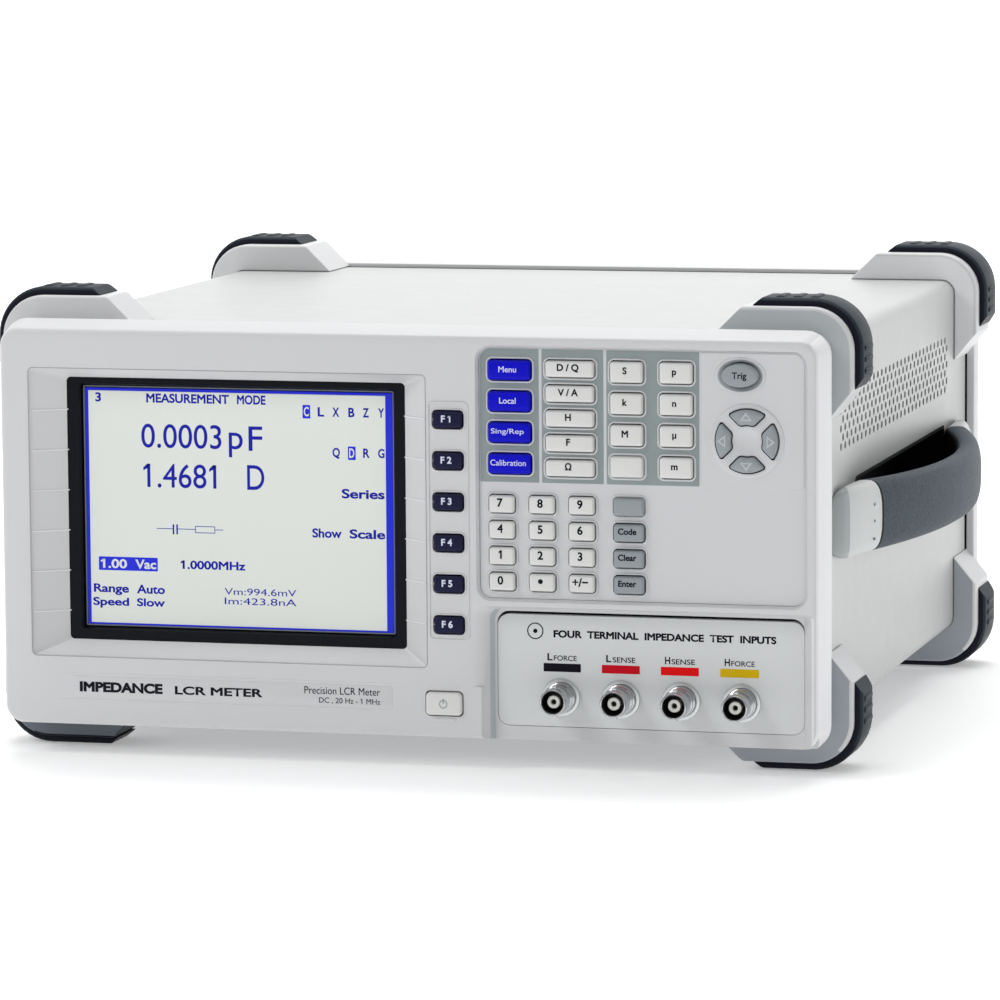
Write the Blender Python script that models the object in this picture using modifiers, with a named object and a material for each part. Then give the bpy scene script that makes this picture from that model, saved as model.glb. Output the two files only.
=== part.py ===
"""Bench LCR meter: moulded front and rear frames with rubber corner bumpers, a wrap-around
cover with a side carrying handle, and a front panel of separate sprung keys.

Sizes are in millimetres from the centre of the front face: x to the right, y to the rear,
z up from the table. The root empty moves that origin to the middle of the footprint."""

import math

import bmesh
import bpy
from mathutils import Matrix, Vector

MM = 0.001
GAP = 0.3

# Overall envelope
BUMPER_X = 162.0
TOTAL_Z = 170.0
REAR_Y = 318.0
BNC_TIP_Y = -7.2
HANDLE_PEAK_X = 178.0
MID_Z = TOTAL_Z / 2

# Front bezel
BEZEL_X = 153.8
BEZEL_Z = (10.5, 159.6)
BEZEL_FACE_X = 151.6
BEZEL_FACE_Z = (12.0, 157.0)
BEZEL_DEPTH = 13.0
WALL = 3.5
BODY_X = 150.3
BODY_Z = (14.4, 156.5)

# Corner guards and bumpers, as half widths about the middle
GUARD_X = 159.1
GUARD_Z = 81.8
GUARD_R = 15.5
FRONT_GUARD_Y = (25.0, 49.5)
REAR_GUARD_Y = (280.0, 307.5)
FRONT_BUMPER_Y = (28.0, 48.0)
REAR_BUMPER_Y = (283.3, 305.0)

# Cover and chassis
COVER_X = 150.0
COVER_Z = (16.5, 156.2)
COVER_Y = (11.0, 304.0)
SHEET = 1.2
POCKET_Y = (72.0, 250.0)
POCKET_Z = (75.5, 101.0)
POCKET_X = 132.0
PAN_Z = (14.7, 16.2)
PANEL_Y = (302.2, 303.7)

# Handle
HANDLE_Y = (32.0, 288.0)
HANDLE_Z = (73.0, 101.0)

# Display
LCD_DEPTH = 8.0

# Keys: centre column, first row, row pitch, width, height
KEY_FRONT_Y = -0.6
PANEL_FRONT_Y = 2.0
PANEL_BACK_Y = 5.3
SOFT_X, SOFT_Z, SOFT_PITCH, SOFT_SIZE = 17.4, 126.9, 14.76, (10.9, 6.1)
BLUE_X, BLUE_Z, BLUE_PITCH, BLUE_SIZE = 39.85, 144.9, 11.15, (15.5, 7.15)
MODE_X, MODE_Z, MODE_PITCH, MODE_SIZE = 61.95, 145.6, 8.83, (17.7, 5.9)
UNIT_X, UNIT_Z, UNIT_PITCH, UNIT_SIZE = (82.6, 100.5), 144.85, 11.2, (11.9, 7.5)
DIGIT_X, DIGIT_Z, DIGIT_PITCH, DIGIT_SIZE = (36.85, 51.55, 66.1), 97.0, 9.3, (9.3, 6.3)
ENTRY_X, ENTRY_SIZE = 83.3, (11.0, 6.3)
TRIG_AT, TRIG_SIZE = (123.5, 144.4), (13.6, 8.5)
ARROW_AT, ARROW_R = (126.0, 121.3), (5.5, 11.8)
POWER_AT, POWER_SIZE = (15.3, 24.55), (13.4, 8.5)
KEYPAD_X = (28.3, 147.1)
KEYPAD_Z = (63.0, 152.9)

# Terminals
BNC_X = (56.9, 78.9, 100.9, 122.9)
BNC_Z = 27.3
TERMINAL_X = (33.4, 145.8)
TERMINAL_Z = (16.4, 57.1)

for old in list(bpy.data.objects):
    bpy.data.objects.remove(old, do_unlink=True)

parts = bpy.data.collections.new("lcr_meter")
tools = bpy.data.collections.new("cutters")
bpy.context.scene.collection.children.link(parts)
bpy.context.scene.collection.children.link(tools)

root = bpy.data.objects.new("lcr_meter_origin", None)
root.location = Vector(((BUMPER_X - HANDLE_PEAK_X) / 2, -(REAR_Y + BNC_TIP_Y) / 2, 0)) * MM
parts.objects.link(root)


def material(name, colour, roughness, metallic=0.0):
    mat = bpy.data.materials.new(name)
    mat.use_nodes = True
    shader = mat.node_tree.nodes["Principled BSDF"]
    shader.inputs["Base Color"].default_value = (*colour, 1.0)
    shader.inputs["Roughness"].default_value = roughness
    shader.inputs["Metallic"].default_value = metallic
    mat.diffuse_color = (*colour, 1.0)
    return mat


SHELL = material("shell_plastic", (0.66, 0.67, 0.66), 0.45)
PAINT = material("cover_paint", (0.62, 0.64, 0.62), 0.4)
PANEL = material("panel_plastic", (0.52, 0.55, 0.55), 0.5)
BLUE = material("blue_keys", (0.01, 0.01, 0.55), 0.4)
NAVY = material("soft_keys", (0.02, 0.02, 0.08), 0.4)
PALE = material("pale_keys", (0.62, 0.65, 0.64), 0.45)
RUBBER = material("bumper_rubber", (0.02, 0.022, 0.035), 0.75)
GRIP = material("grip_rubber", (0.11, 0.13, 0.15), 0.7)
SCREEN = material("display", (0.05, 0.05, 0.07), 0.2)
STEEL = material("zinc_steel", (0.55, 0.56, 0.56), 0.35, 1.0)
BOARD = material("circuit_board", (0.02, 0.18, 0.07), 0.5)
NICKEL = material("terminal_plate", (0.5, 0.52, 0.52), 0.35)


def add_object(name, mesh, at, mat=None):
    """A part of the instrument when it has a material, and a hidden cutter when it hasn't."""
    obj = bpy.data.objects.new(name, mesh)
    obj.location = Vector(at) * MM
    obj.parent = root
    (parts if mat else tools).objects.link(obj)
    if mat:
        if not mesh.materials:
            mesh.materials.append(mat)
    else:
        obj.hide_render = True
        obj.display_type = "WIRE"
    return obj


def to_mesh(bm, name, smooth=None):
    bm.normal_update()
    bmesh.ops.recalc_face_normals(bm, faces=bm.faces)
    mesh = bpy.data.meshes.new(name)
    bm.to_mesh(mesh)
    bm.free()
    if smooth:
        mesh.shade_smooth()
        mesh.set_sharp_from_angle(angle=math.radians(smooth))
    return mesh


def round_corners(bm, axis, radius, segments):
    """Rounds the edges that run along one axis."""
    along = [e for e in bm.edges
             if abs((e.verts[0].co - e.verts[1].co).normalized()[axis]) > 0.99]
    bmesh.ops.bevel(bm, geom=along, offset=radius * MM, segments=segments, profile=0.5,
                    affect="EDGES", clamp_overlap=True)


def add_box(bm, x, y, z, radius=0.0, segments=3, axis=1):
    """Adds a box given by its three spans, its edges along one axis rounded."""
    size = Vector((x[1] - x[0], y[1] - y[0], z[1] - z[0])) * MM
    middle = Vector((x[0] + x[1], y[0] + y[1], z[0] + z[1])) * MM / 2
    single = bmesh.new()
    bmesh.ops.create_cube(single, size=1.0)
    bmesh.ops.scale(single, vec=size, verts=single.verts)
    if radius:
        round_corners(single, axis, radius, segments)
    bmesh.ops.translate(single, vec=middle, verts=single.verts)
    scratch = bpy.data.meshes.new("scratch")
    single.to_mesh(scratch)
    single.free()
    bm.from_mesh(scratch)
    bpy.data.meshes.remove(scratch)


def add_disc(bm, x, z, y, radius, sides=20, stretch=(1.0, 1.0)):
    """Adds a round or oval plug that runs along y."""
    turn = Matrix.Translation(Vector((x, (y[0] + y[1]) / 2, z)) * MM)
    turn = turn @ Matrix.Diagonal((stretch[0], 1.0, stretch[1], 1.0))
    turn = turn @ Matrix.Rotation(math.pi / 2, 4, "X")
    bmesh.ops.create_cone(bm, cap_ends=True, segments=sides, radius1=radius * MM,
                          radius2=radius * MM, depth=(y[1] - y[0]) * MM, matrix=turn)


def solid(name, mat, adders, at=(0, 0, 0), smooth=None):
    """One object from a list of functions that each add a closed form."""
    bm = bmesh.new()
    for adder in adders:
        adder(bm)
    return add_object(name, to_mesh(bm, name, smooth), at, mat)


def box(*args, **options):
    return lambda bm: add_box(bm, *args, **options)


def disc(*args, **options):
    return lambda bm: add_disc(bm, *args, **options)


def combine(target, tool, operation):
    mod = target.modifiers.new(operation.lower() + "_" + tool.name, "BOOLEAN")
    mod.operation = operation
    mod.object = tool
    mod.solver = "EXACT"
    mod.use_self = False
    return target


def soften(obj, width, segments=2, angle=40):
    mod = obj.modifiers.new("edges", "BEVEL")
    mod.width = width * MM
    mod.segments = segments
    mod.limit_method = "ANGLE"
    mod.angle_limit = math.radians(angle)
    mod.use_clamp_overlap = True


def taper(x0, x1, y, z0, z1):
    """Adds a four sided funnel: x0 and z0 are its spans at the near y, x1 and z1 at the far."""
    def add(bm):
        made = bmesh.ops.create_cube(bm, size=1.0)["verts"]
        for v in made:
            near = v.co.y < 0
            x = (x0 if near else x1)[0 if v.co.x < 0 else 1]
            z = (z0 if near else z1)[0 if v.co.z < 0 else 1]
            v.co = Vector((x, y[0 if near else 1], z)) * MM
    return add


def wedge(axis, near, far, y):
    """Adds a bar across the corners of the guards. It is wider at its far end: near and far
    are (distance, half width) pairs, and axis is the signed direction it points in."""
    def add(bm):
        made = bmesh.ops.create_cube(bm, size=1.0)["verts"]
        for v in made:
            side, out = (v.co.x, v.co.z) if axis in ("top", "bottom") else (v.co.z, v.co.x)
            distance, half = far if out > 0 else near
            side = math.copysign(half, side)
            sign = -1 if axis in ("bottom", "left") else 1
            depth = y[0] if v.co.y < 0 else y[1]
            if axis in ("top", "bottom"):
                v.co = Vector((side, depth, MID_Z + sign * distance)) * MM
            else:
                v.co = Vector((sign * distance, depth, MID_Z + side)) * MM
    return add


# ---------------------------------------------------------------- keys

def key_mesh(name, size, depth, radius=0.9, flange=0.9):
    """A key cap with a bevelled front edge and a flange behind, standing at its own centre."""
    width, height = size
    front, neck, back = depth
    bm = bmesh.new()
    add_box(bm, (-width / 2, width / 2), (front, neck), (-height / 2, height / 2), radius, 2)
    rim = [e for e in bm.edges if all(abs(v.co.y - front * MM) < 1e-7 for v in e.verts)]
    bmesh.ops.bevel(bm, geom=rim, offset=0.5 * MM, segments=1, affect="EDGES")
    grow_flange(bm, neck, back, flange)
    return to_mesh(bm, name, 30)


def grow_flange(bm, neck, back, flange):
    rear = [f for f in bm.faces if all(abs(v.co.y - neck * MM) < 1e-7 for v in f.verts)]
    for spread, y in ((flange, neck), (0.0, back)):
        grown = bmesh.ops.extrude_face_region(bm, geom=rear)["geom"]
        bmesh.ops.delete(bm, geom=rear, context="FACES_ONLY")
        rear = [g for g in grown if isinstance(g, bmesh.types.BMFace)]
        for v in {v for f in rear for v in f.verts}:
            v.co.x += math.copysign(spread * MM, v.co.x) if abs(v.co.x) > 1e-6 else 0.0
            v.co.z += math.copysign(spread * MM, v.co.z) if abs(v.co.z) > 1e-6 else 0.0
            v.co.y = y * MM


def oval_key_mesh(name, size, depth):
    bm = bmesh.new()
    add_disc(bm, 0, 0, depth[:2], size[1] / 2, 20, (size[0] / size[1], 1.0))
    rim = [e for e in bm.edges if all(abs(v.co.y - depth[0] * MM) < 1e-7 for v in e.verts)]
    bmesh.ops.bevel(bm, geom=rim, offset=0.6 * MM, segments=1, affect="EDGES")
    grow_flange(bm, depth[1], depth[2], 0.8)
    return to_mesh(bm, name, 30)


def sector(bm, centre, radii, y, turn, half_angle=31.0):
    """Adds a ring sector, turned about the y axis through the pad's centre."""
    single = bmesh.new()
    start = Matrix.Rotation(math.radians(half_angle), 4, "Y")
    corners = [single.verts.new(start @ Vector((r * MM, d * MM, 0)))
               for r, d in ((radii[0], y[0]), (radii[1], y[0]), (radii[1], y[1]), (radii[0], y[1]))]
    face = single.faces.new(corners)
    bmesh.ops.spin(single, geom=[face, *face.edges, *face.verts], cent=(0, 0, 0),
                   axis=(0, 1, 0), angle=math.radians(-2 * half_angle), steps=6,
                   use_duplicate=False)
    bmesh.ops.holes_fill(single, edges=[e for e in single.edges if e.is_boundary])
    single.normal_update()
    bmesh.ops.recalc_face_normals(single, faces=single.faces)
    place = Matrix.Translation(Vector((centre[0], 0, centre[1])) * MM)
    place = place @ Matrix.Rotation(-math.radians(turn), 4, "Y")
    bmesh.ops.transform(single, matrix=place, verts=single.verts)
    scratch = bpy.data.meshes.new("scratch")
    single.to_mesh(scratch)
    single.free()
    bm.from_mesh(scratch)
    bpy.data.meshes.remove(scratch)


# Each family: names by (column, row), a shared mesh, and its place on the keypad
PAD_DEPTH = (KEY_FRONT_Y, PANEL_BACK_Y + GAP, PANEL_BACK_Y + GAP + 0.8)
FRONT_DEPTH = (-1.7, WALL + GAP, WALL + GAP + 0.9)


def family(names, columns, first, pitch, size, mat, depth=PAD_DEPTH):
    mesh = key_mesh(names[0][0] + "_cap", size, depth)
    for column, x in zip(names, columns):
        for row, name in enumerate(column):
            if name:
                add_object(name, mesh, (x, 0, first - pitch * row), mat)


SOFT_NAMES = [["key_f1", "key_f2", "key_f3", "key_f4", "key_f5", "key_f6"]]
BLUE_NAMES = [["key_menu", "key_local", "key_sing_rep", "key_calibration"]]
MODE_NAMES = [["key_dq", "key_va", "key_h", "key_f", "key_ohm"]]
UNIT_NAMES = [["key_s", "key_kilo", "key_mega", None],
              ["key_pico", "key_nano", "key_micro", "key_milli"]]
DIGIT_NAMES = [["key_7", "key_4", "key_1", "key_0"],
               ["key_8", "key_5", "key_2", "key_point"],
               ["key_9", "key_6", "key_3", "key_sign"]]
ENTRY_NAMES = [[None, "key_code", "key_clear", "key_enter"]]

family(SOFT_NAMES, [SOFT_X], SOFT_Z, SOFT_PITCH, SOFT_SIZE, NAVY, FRONT_DEPTH)
family(BLUE_NAMES, [BLUE_X], BLUE_Z, BLUE_PITCH, BLUE_SIZE, BLUE)
family(MODE_NAMES, [MODE_X], MODE_Z, MODE_PITCH, MODE_SIZE, PALE)
family(UNIT_NAMES, UNIT_X, UNIT_Z, UNIT_PITCH, UNIT_SIZE, PALE)
family(DIGIT_NAMES, DIGIT_X, DIGIT_Z, DIGIT_PITCH, DIGIT_SIZE, PALE)
entry_cap = key_mesh("entry_cap", ENTRY_SIZE, PAD_DEPTH)
for row, name in enumerate(ENTRY_NAMES[0]):
    if name:
        add_object(name, entry_cap, (ENTRY_X, 0, DIGIT_Z - DIGIT_PITCH * row), PALE)
add_object("key_trig", oval_key_mesh("trig_cap", TRIG_SIZE, PAD_DEPTH),
           (TRIG_AT[0], 0, TRIG_AT[1]), PALE)
add_object("power_button", key_mesh("power_cap", POWER_SIZE, FRONT_DEPTH, 1.2),
           (POWER_AT[0], 0, POWER_AT[1]), PALE)

for turn, name in ((0, "right"), (90, "up"), (180, "left"), (270, "down")):
    bm = bmesh.new()
    sector(bm, (0, 0), ARROW_R, (KEY_FRONT_Y, PAD_DEPTH[2]), turn)
    add_object("key_arrow_" + name, to_mesh(bm, "arrow_" + name, 30),
               (ARROW_AT[0], 0, ARROW_AT[1]), PALE)


# ---------------------------------------------------------------- keypad panel

def key_places():
    """Every key position on the keypad as (x, z, width, height), blank bosses last."""
    spots = [(BLUE_X, BLUE_Z - BLUE_PITCH * r, *BLUE_SIZE) for r in range(4)]
    spots += [(MODE_X, MODE_Z - MODE_PITCH * r, *MODE_SIZE) for r in range(5)]
    spots += [(x, UNIT_Z - UNIT_PITCH * r, *UNIT_SIZE)
              for c, x in enumerate(UNIT_X) for r in range(4) if (c, r) != (0, 3)]
    spots += [(x, DIGIT_Z - DIGIT_PITCH * r, *DIGIT_SIZE) for x in DIGIT_X for r in range(4)]
    spots += [(ENTRY_X, DIGIT_Z - DIGIT_PITCH * r, *ENTRY_SIZE) for r in range(1, 4)]
    return spots


def plug(spot, grow, y, radius=0.9):
    x, z, width, height = spot
    half_w, half_h = width / 2 + grow, height / 2 + grow
    return box((x - half_w, x + half_w), y, (z - half_h, z + half_h), radius=radius, segments=2)


def inset(span, amount):
    return (span[0] + amount, span[1] - amount)


panel = solid("keypad_panel", PANEL, [
    box(inset(KEYPAD_X, GAP), (PANEL_FRONT_Y, PANEL_BACK_Y - 0.4), inset(KEYPAD_Z, GAP),
        radius=4.2, segments=4)])
panel_flange = solid("panel_flange", None, [
    box(inset(KEYPAD_X, -2.2), (WALL + GAP, PANEL_BACK_Y), inset(KEYPAD_Z, -2.2), radius=4.0,
        segments=3)])
rims = solid("panel_rims", None, [
    *(plug(spot, 1.05, (PANEL_FRONT_Y - 0.7, PANEL_FRONT_Y + 0.8), 1.6) for spot in key_places()),
    plug((UNIT_X[0], UNIT_Z - 3 * UNIT_PITCH, *UNIT_SIZE), 0.0,
         (KEY_FRONT_Y, PANEL_FRONT_Y + 0.8)),
    plug((ENTRY_X, DIGIT_Z, *ENTRY_SIZE), 0.0, (KEY_FRONT_Y, PANEL_FRONT_Y + 0.8)),
    disc(*TRIG_AT, (PANEL_FRONT_Y - 0.7, PANEL_FRONT_Y + 0.8), 5.6, stretch=(15.8 / 11.2, 1.0)),
    disc(*ARROW_AT, (PANEL_FRONT_Y - 0.7, PANEL_FRONT_Y + 0.8), 13.5, 28)])
holes = solid("panel_holes", None, [
    *(plug(spot, 0.35, (-5.0, 12.0)) for spot in key_places()),
    disc(*TRIG_AT, (-5.0, 12.0), TRIG_SIZE[1] / 2 + 0.35, stretch=(1.57, 1.0))])
sector_holes = bmesh.new()
for turn in (0, 90, 180, 270):
    sector(sector_holes, ARROW_AT, (ARROW_R[0] - 0.35, ARROW_R[1] + 0.35), (-5.0, 12.0), turn, 34.5)
sector_holes = add_object("arrow_holes", to_mesh(sector_holes, "arrow_holes"), (0, 0, 0))
combine(panel, panel_flange, "UNION")
combine(panel, rims, "UNION")
combine(panel, holes, "DIFFERENCE")
combine(panel, sector_holes, "DIFFERENCE")


# ---------------------------------------------------------------- front bezel and guards

def guard_ring(name, y):
    """Four corner guards: a rounded ring with its straight runs cut away on a slant."""
    guard = solid(name, None, [
        box((-GUARD_X, GUARD_X), y, (MID_Z - GUARD_Z, MID_Z + GUARD_Z), radius=GUARD_R, segments=6)])
    soften(guard, 1.6, 2)
    reach = (y[0] - 5, y[1] + 5)
    for side in ("top", "bottom"):
        bar = solid(name + "_" + side, None, [wedge(side, (60, 96.5), (84, 121.0), reach)])
        combine(guard, bar, "DIFFERENCE")
    for side in ("left", "right"):
        bar = solid(name + "_" + side, None, [wedge(side, (140, 29.1), (163, 57.2), reach)])
        combine(guard, bar, "DIFFERENCE")
    return guard


def draft_front(mesh):
    """Draws the bezel's front face in from its rear edge, then rounds the front rim."""
    bm = bmesh.new()
    bm.from_mesh(mesh)
    rise = (BEZEL_FACE_Z[1] - BEZEL_FACE_Z[0]) / (BEZEL_Z[1] - BEZEL_Z[0])
    for v in bm.verts:
        if abs(v.co.y) < 1e-7:
            v.co.x *= BEZEL_FACE_X / BEZEL_X
            v.co.z = BEZEL_FACE_Z[0] * MM + (v.co.z - BEZEL_Z[0] * MM) * rise
    rim = [e for e in bm.edges if all(abs(v.co.y) < 1e-7 for v in e.verts)]
    bmesh.ops.bevel(bm, geom=rim, offset=2.2 * MM, segments=3, profile=0.5, affect="EDGES")
    bm.to_mesh(mesh)
    bm.free()


bezel = solid("front_bezel", SHELL, [
    box((-BEZEL_X, BEZEL_X), (0, BEZEL_DEPTH), BEZEL_Z, radius=8.0, segments=5)])
draft_front(bezel.data)
sleeve = solid("bezel_sleeve", None, [
    box((-151.4, 151.4), (BEZEL_DEPTH - 1.0, 26.0), (13.2, 157.6), radius=6.4, segments=4)])

front_guard = guard_ring("front_guard", FRONT_GUARD_Y)
body_space = solid("bezel_space", None, [
    box((-BODY_X, BODY_X), (WALL, 60.0), BODY_Z, radius=5.3, segments=4)])
bosses = solid("bezel_bosses", None, [
    box((-143.5, 11.0), (WALL - 1.0, LCD_DEPTH), (34.5, 145.5)),
    box((24.5, 151.5), (WALL - 1.0, 8.5), (12.3, 60.6))])
windows = solid("bezel_windows", None, [
    taper((-143.3, 11.3), (-126.9, -2.0), (-2.0, 9.0), (36.3, 143.3), (43.3, 138.3)),
    taper((25.6, 152.6), (33.1, 145.9), (-2.0, 6.0), (0.0, 61.0), (0.0, 58.6)),
    box(KEYPAD_X, (-5.0, 12.0), KEYPAD_Z, radius=4.5, segments=4),
    plug((SOFT_X, SOFT_Z - 2.5 * SOFT_PITCH, 15.1, 85.9), 0.0, (-5.0, 0.5), 1.0),
    plug((-64.55, 26.25, 120.5, 9.5), 0.0, (-5.0, 0.4), 0.5)])
key_slots = solid("bezel_key_slots", None, [
    *(plug((SOFT_X, SOFT_Z - SOFT_PITCH * r, *SOFT_SIZE), 0.35, (-6.0, 12.0)) for r in range(6)),
    plug((*POWER_AT, *POWER_SIZE), 0.4, (-6.0, 12.0), 1.2),
    box(TERMINAL_X, (3.0, 12.0), TERMINAL_Z, radius=1.5, segments=2)])
combine(bezel, sleeve, "UNION")
combine(bezel, front_guard, "UNION")
combine(bezel, body_space, "DIFFERENCE")
combine(bezel, bosses, "UNION")
combine(bezel, windows, "DIFFERENCE")
combine(bezel, key_slots, "DIFFERENCE")


# ---------------------------------------------------------------- terminals

terminals = solid("terminal_block", NICKEL, [
    box(inset(TERMINAL_X, GAP), (6.3, 9.2), inset(TERMINAL_Z, GAP), radius=1.2, segments=2)])
terminal_flange = solid("terminal_flange", None, [
    box((30.8, 147.4), (8.8, 10.4), (15.8, 59.4))])
barrels = solid("terminal_barrels", None, [
    *(disc(x, BNC_Z, (4.8, 7.0), 7.0, 20) for x in BNC_X),
    *(disc(x, BNC_Z, (10.0, 14.5), 5.6, 12) for x in BNC_X)])
tubes = solid("terminal_tubes", None, [disc(x, BNC_Z, (BNC_TIP_Y, 7.0), 4.85, 20) for x in BNC_X])
lugs = solid("terminal_lugs", None, [
    box((x - 5.6, x + 5.6), (-4.6, -2.8), (BNC_Z - 0.9, BNC_Z + 0.9)) for x in BNC_X])
bores = solid("terminal_bores", None, [disc(x, BNC_Z, (-12.0, 2.5), 4.05, 20) for x in BNC_X])
cores = solid("terminal_cores", None, [disc(x, BNC_Z, (-5.4, 4.0), 2.45, 12) for x in BNC_X])
combine(terminals, terminal_flange, "UNION")
combine(terminals, barrels, "UNION")
combine(terminals, tubes, "UNION")
combine(terminals, lugs, "UNION")
combine(terminals, bores, "DIFFERENCE")
combine(terminals, cores, "UNION")


# ---------------------------------------------------------------- display module

display = solid("lcd_module", SCREEN, [
    box((-131.0, 1.6), (LCD_DEPTH + GAP, 19.0), (40.0, 141.3), radius=1.0, segments=1)])
display_cut = solid("display_cut", None, [
    box((-123.5, -5.3), (0.0, LCD_DEPTH + 1.8), (47.3, 136.2))])
combine(display, display_cut, "DIFFERENCE")


# ---------------------------------------------------------------- cover with hand pocket

cover = solid("case_cover", PAINT, [
    box((-COVER_X, COVER_X), COVER_Y, COVER_Z, radius=5.0, segments=4)])
cover_space = solid("cover_space", None, [
    box((-COVER_X + SHEET, COVER_X - SHEET), (0.0, 330.0), inset(COVER_Z, SHEET), radius=3.8,
        segments=4)])
cover_slot = solid("cover_slot", None, [box((-138.0, 138.0), (0.0, 330.0), (10.0, 25.0))])
pocket = solid("pocket", None, [
    box((POCKET_X - 1.5, COVER_X - 0.5), inset(POCKET_Y, -1.5), inset(POCKET_Z, -1.5),
        radius=8.0, segments=3, axis=0)])
pocket_space = solid("pocket_space", None, [
    box((POCKET_X, COVER_X + 5.0), POCKET_Y, POCKET_Z, radius=6.5, segments=3, axis=0)])
combine(cover, cover_space, "DIFFERENCE")
combine(cover, cover_slot, "DIFFERENCE")
combine(cover, pocket, "UNION")
combine(cover, pocket_space, "DIFFERENCE")


# ---------------------------------------------------------------- chassis and rear panel

chassis = solid("chassis", STEEL, [box((-144.5, 144.5), (11.0, PANEL_Y[1]), PAN_Z)])
panel_rear = solid("rear_panel", None, [
    box((-137.0, 137.0), PANEL_Y, (PAN_Z[0], 30.0)),
])
panel_rear_top = solid("rear_panel_top", None, [
    box((-148.4, 148.4), PANEL_Y, (18.1, 154.6), radius=4.0, segments=3)])
posts = bmesh.new()
for post_x in (-115.0, 0.0, 110.0):
    for post_y in (30.0, 270.0):
        lift = Matrix.Translation(Vector((post_x, post_y, (PAN_Z[0] + 21.7) / 2 + 0.4)) * MM)
        bmesh.ops.create_cone(posts, cap_ends=True, segments=8, radius1=4.0 * MM, radius2=4.0 * MM,
                              depth=(21.7 - PAN_Z[0] - 0.8) * MM, matrix=lift)
posts = add_object("posts", to_mesh(posts, "posts"), (0, 0, 0))
inlet = solid("inlet", None, [
    box((-128.0, -76.0), (301.0, 306.2), (29.0, 58.0), radius=2.0, segments=2)])
shroud = solid("inlet_shroud", None, [box((-126.0, -98.0), (287.0, 303.0), (32.5, 54.5))])
inlet_hole = solid("inlet_hole", None, [
    box((-124.0, -100.0), (289.0, 320.0), (35.0, 51.5), radius=1.5, segments=1)])
pins = solid("inlet_pins", None, [
    box((x - 1.0, x + 1.0), (287.5, 298.0), (z - 2.0, z + 2.0))
    for x, z in ((-119.0, 41.5), (-112.0, 45.5), (-105.0, 41.5))])
drawer = solid("fuse_drawer", None, [box((-94.0, -80.0), (304.0, 307.4), (33.0, 54.0))])
sockets = solid("rear_sockets", None, [
    box((-44.0, 16.0), (302.8, 309.5), (104.0, 118.0), radius=3.0, segments=2),
    box((48.0, 112.0), (302.8, 309.5), (104.0, 118.0), radius=3.0, segments=2),
    box((48.0, 80.0), (302.8, 308.5), (38.0, 50.5), radius=3.0, segments=2),
    disc(0.0, 44.0, (302.8, 315.5), 4.85, 16)])
earth = solid("earth_post", None, [disc(-52.0, 40.0, (302.8, 314.0), 4.0, 12)])
for tool in (panel_rear, panel_rear_top, posts, inlet, drawer, sockets, earth, shroud):
    combine(chassis, tool, "UNION")
combine(chassis, inlet_hole, "DIFFERENCE")
combine(chassis, pins, "UNION")


# ---------------------------------------------------------------- rear frame

rear = solid("rear_frame", SHELL, [
    box((-151.3, 151.3), (305.3, REAR_Y), (13.2, 157.6), radius=6.4, segments=5)])
soften(rear, 2.5, 2)
rear_guard = guard_ring("rear_guard", REAR_GUARD_Y)
rear_space = solid("rear_space", None, [
    box((-BODY_X, BODY_X), (250.0, 305.3), BODY_Z, radius=5.3, segments=4)])
rear_window = solid("rear_window", None, [
    box((-141.0, 141.0), (290.0, 340.0), (24.0, 149.0), radius=6.0, segments=3)])
combine(rear, rear_guard, "UNION")
combine(rear, rear_space, "DIFFERENCE")
combine(rear, rear_window, "DIFFERENCE")


# ---------------------------------------------------------------- rubber corner bumpers

def bumper_mesh(name, y, mirrored):
    """The top right corner bumper about the frame's centre, or its mirror image."""
    middle = (y[0] + y[1]) / 2
    half = (y[1] - y[0]) / 2
    outer = bmesh.new()
    add_box(outer, (-BUMPER_X, BUMPER_X), (-half, half), (-TOTAL_Z / 2, TOTAL_Z / 2), 18.0, 6)
    block = add_object(name + "_block", to_mesh(outer, name + "_block"), (0, middle, MID_Z))
    inner = bmesh.new()
    add_box(inner, (-GUARD_X - GAP, GUARD_X + GAP), (-40, 40), (-GUARD_Z - GAP, GUARD_Z + GAP),
            GUARD_R + GAP, 6)
    inner = add_object(name + "_inner", to_mesh(inner, name + "_inner"), (0, middle, MID_Z))
    keep = solid(name + "_keep", None, [
        box((60, 200), (y[0] - 9, y[1] + 9), (MID_Z + 20, MID_Z + 120))])
    top = solid(name + "_top", None, [wedge("top", (75, 113.8), (95, 137.6), (y[0] - 9, y[1] + 9))])
    side = solid(name + "_side", None, [
        wedge("right", (150, 38.5), (175, 76.0), (y[0] - 9, y[1] + 9))])
    soften(block, 2.0, 2)
    combine(block, inner, "DIFFERENCE")
    combine(block, keep, "INTERSECT")
    combine(block, top, "DIFFERENCE")
    combine(block, side, "DIFFERENCE")
    bpy.context.view_layer.update()
    mesh = bpy.data.meshes.new_from_object(block.evaluated_get(bpy.context.evaluated_depsgraph_get()))
    mesh.name = name
    for spent in (block, inner, keep, top, side):
        bpy.data.objects.remove(spent, do_unlink=True)
    if mirrored:
        bm = bmesh.new()
        bm.from_mesh(mesh)
        bmesh.ops.scale(bm, vec=(-1, 1, 1), verts=bm.verts)
        bmesh.ops.reverse_faces(bm, faces=bm.faces)
        bm.to_mesh(mesh)
        bm.free()
    return mesh


for end, span in (("front", FRONT_BUMPER_Y), ("rear", REAR_BUMPER_Y)):
    plain = bumper_mesh("bumper_" + end, span, False)
    mirror = bumper_mesh("bumper_mirror_" + end, span, True)
    centre = (0, (span[0] + span[1]) / 2, MID_Z)
    for corner, mesh, turned in (("top_right", plain, False), ("top_left", mirror, False),
                                 ("bottom_left", plain, True), ("bottom_right", mirror, True)):
        bumper = add_object("bumper_" + end + "_" + corner, mesh, centre, RUBBER)
        bumper.rotation_euler.y = math.pi if turned else 0.0


# ---------------------------------------------------------------- carrying handle

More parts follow.
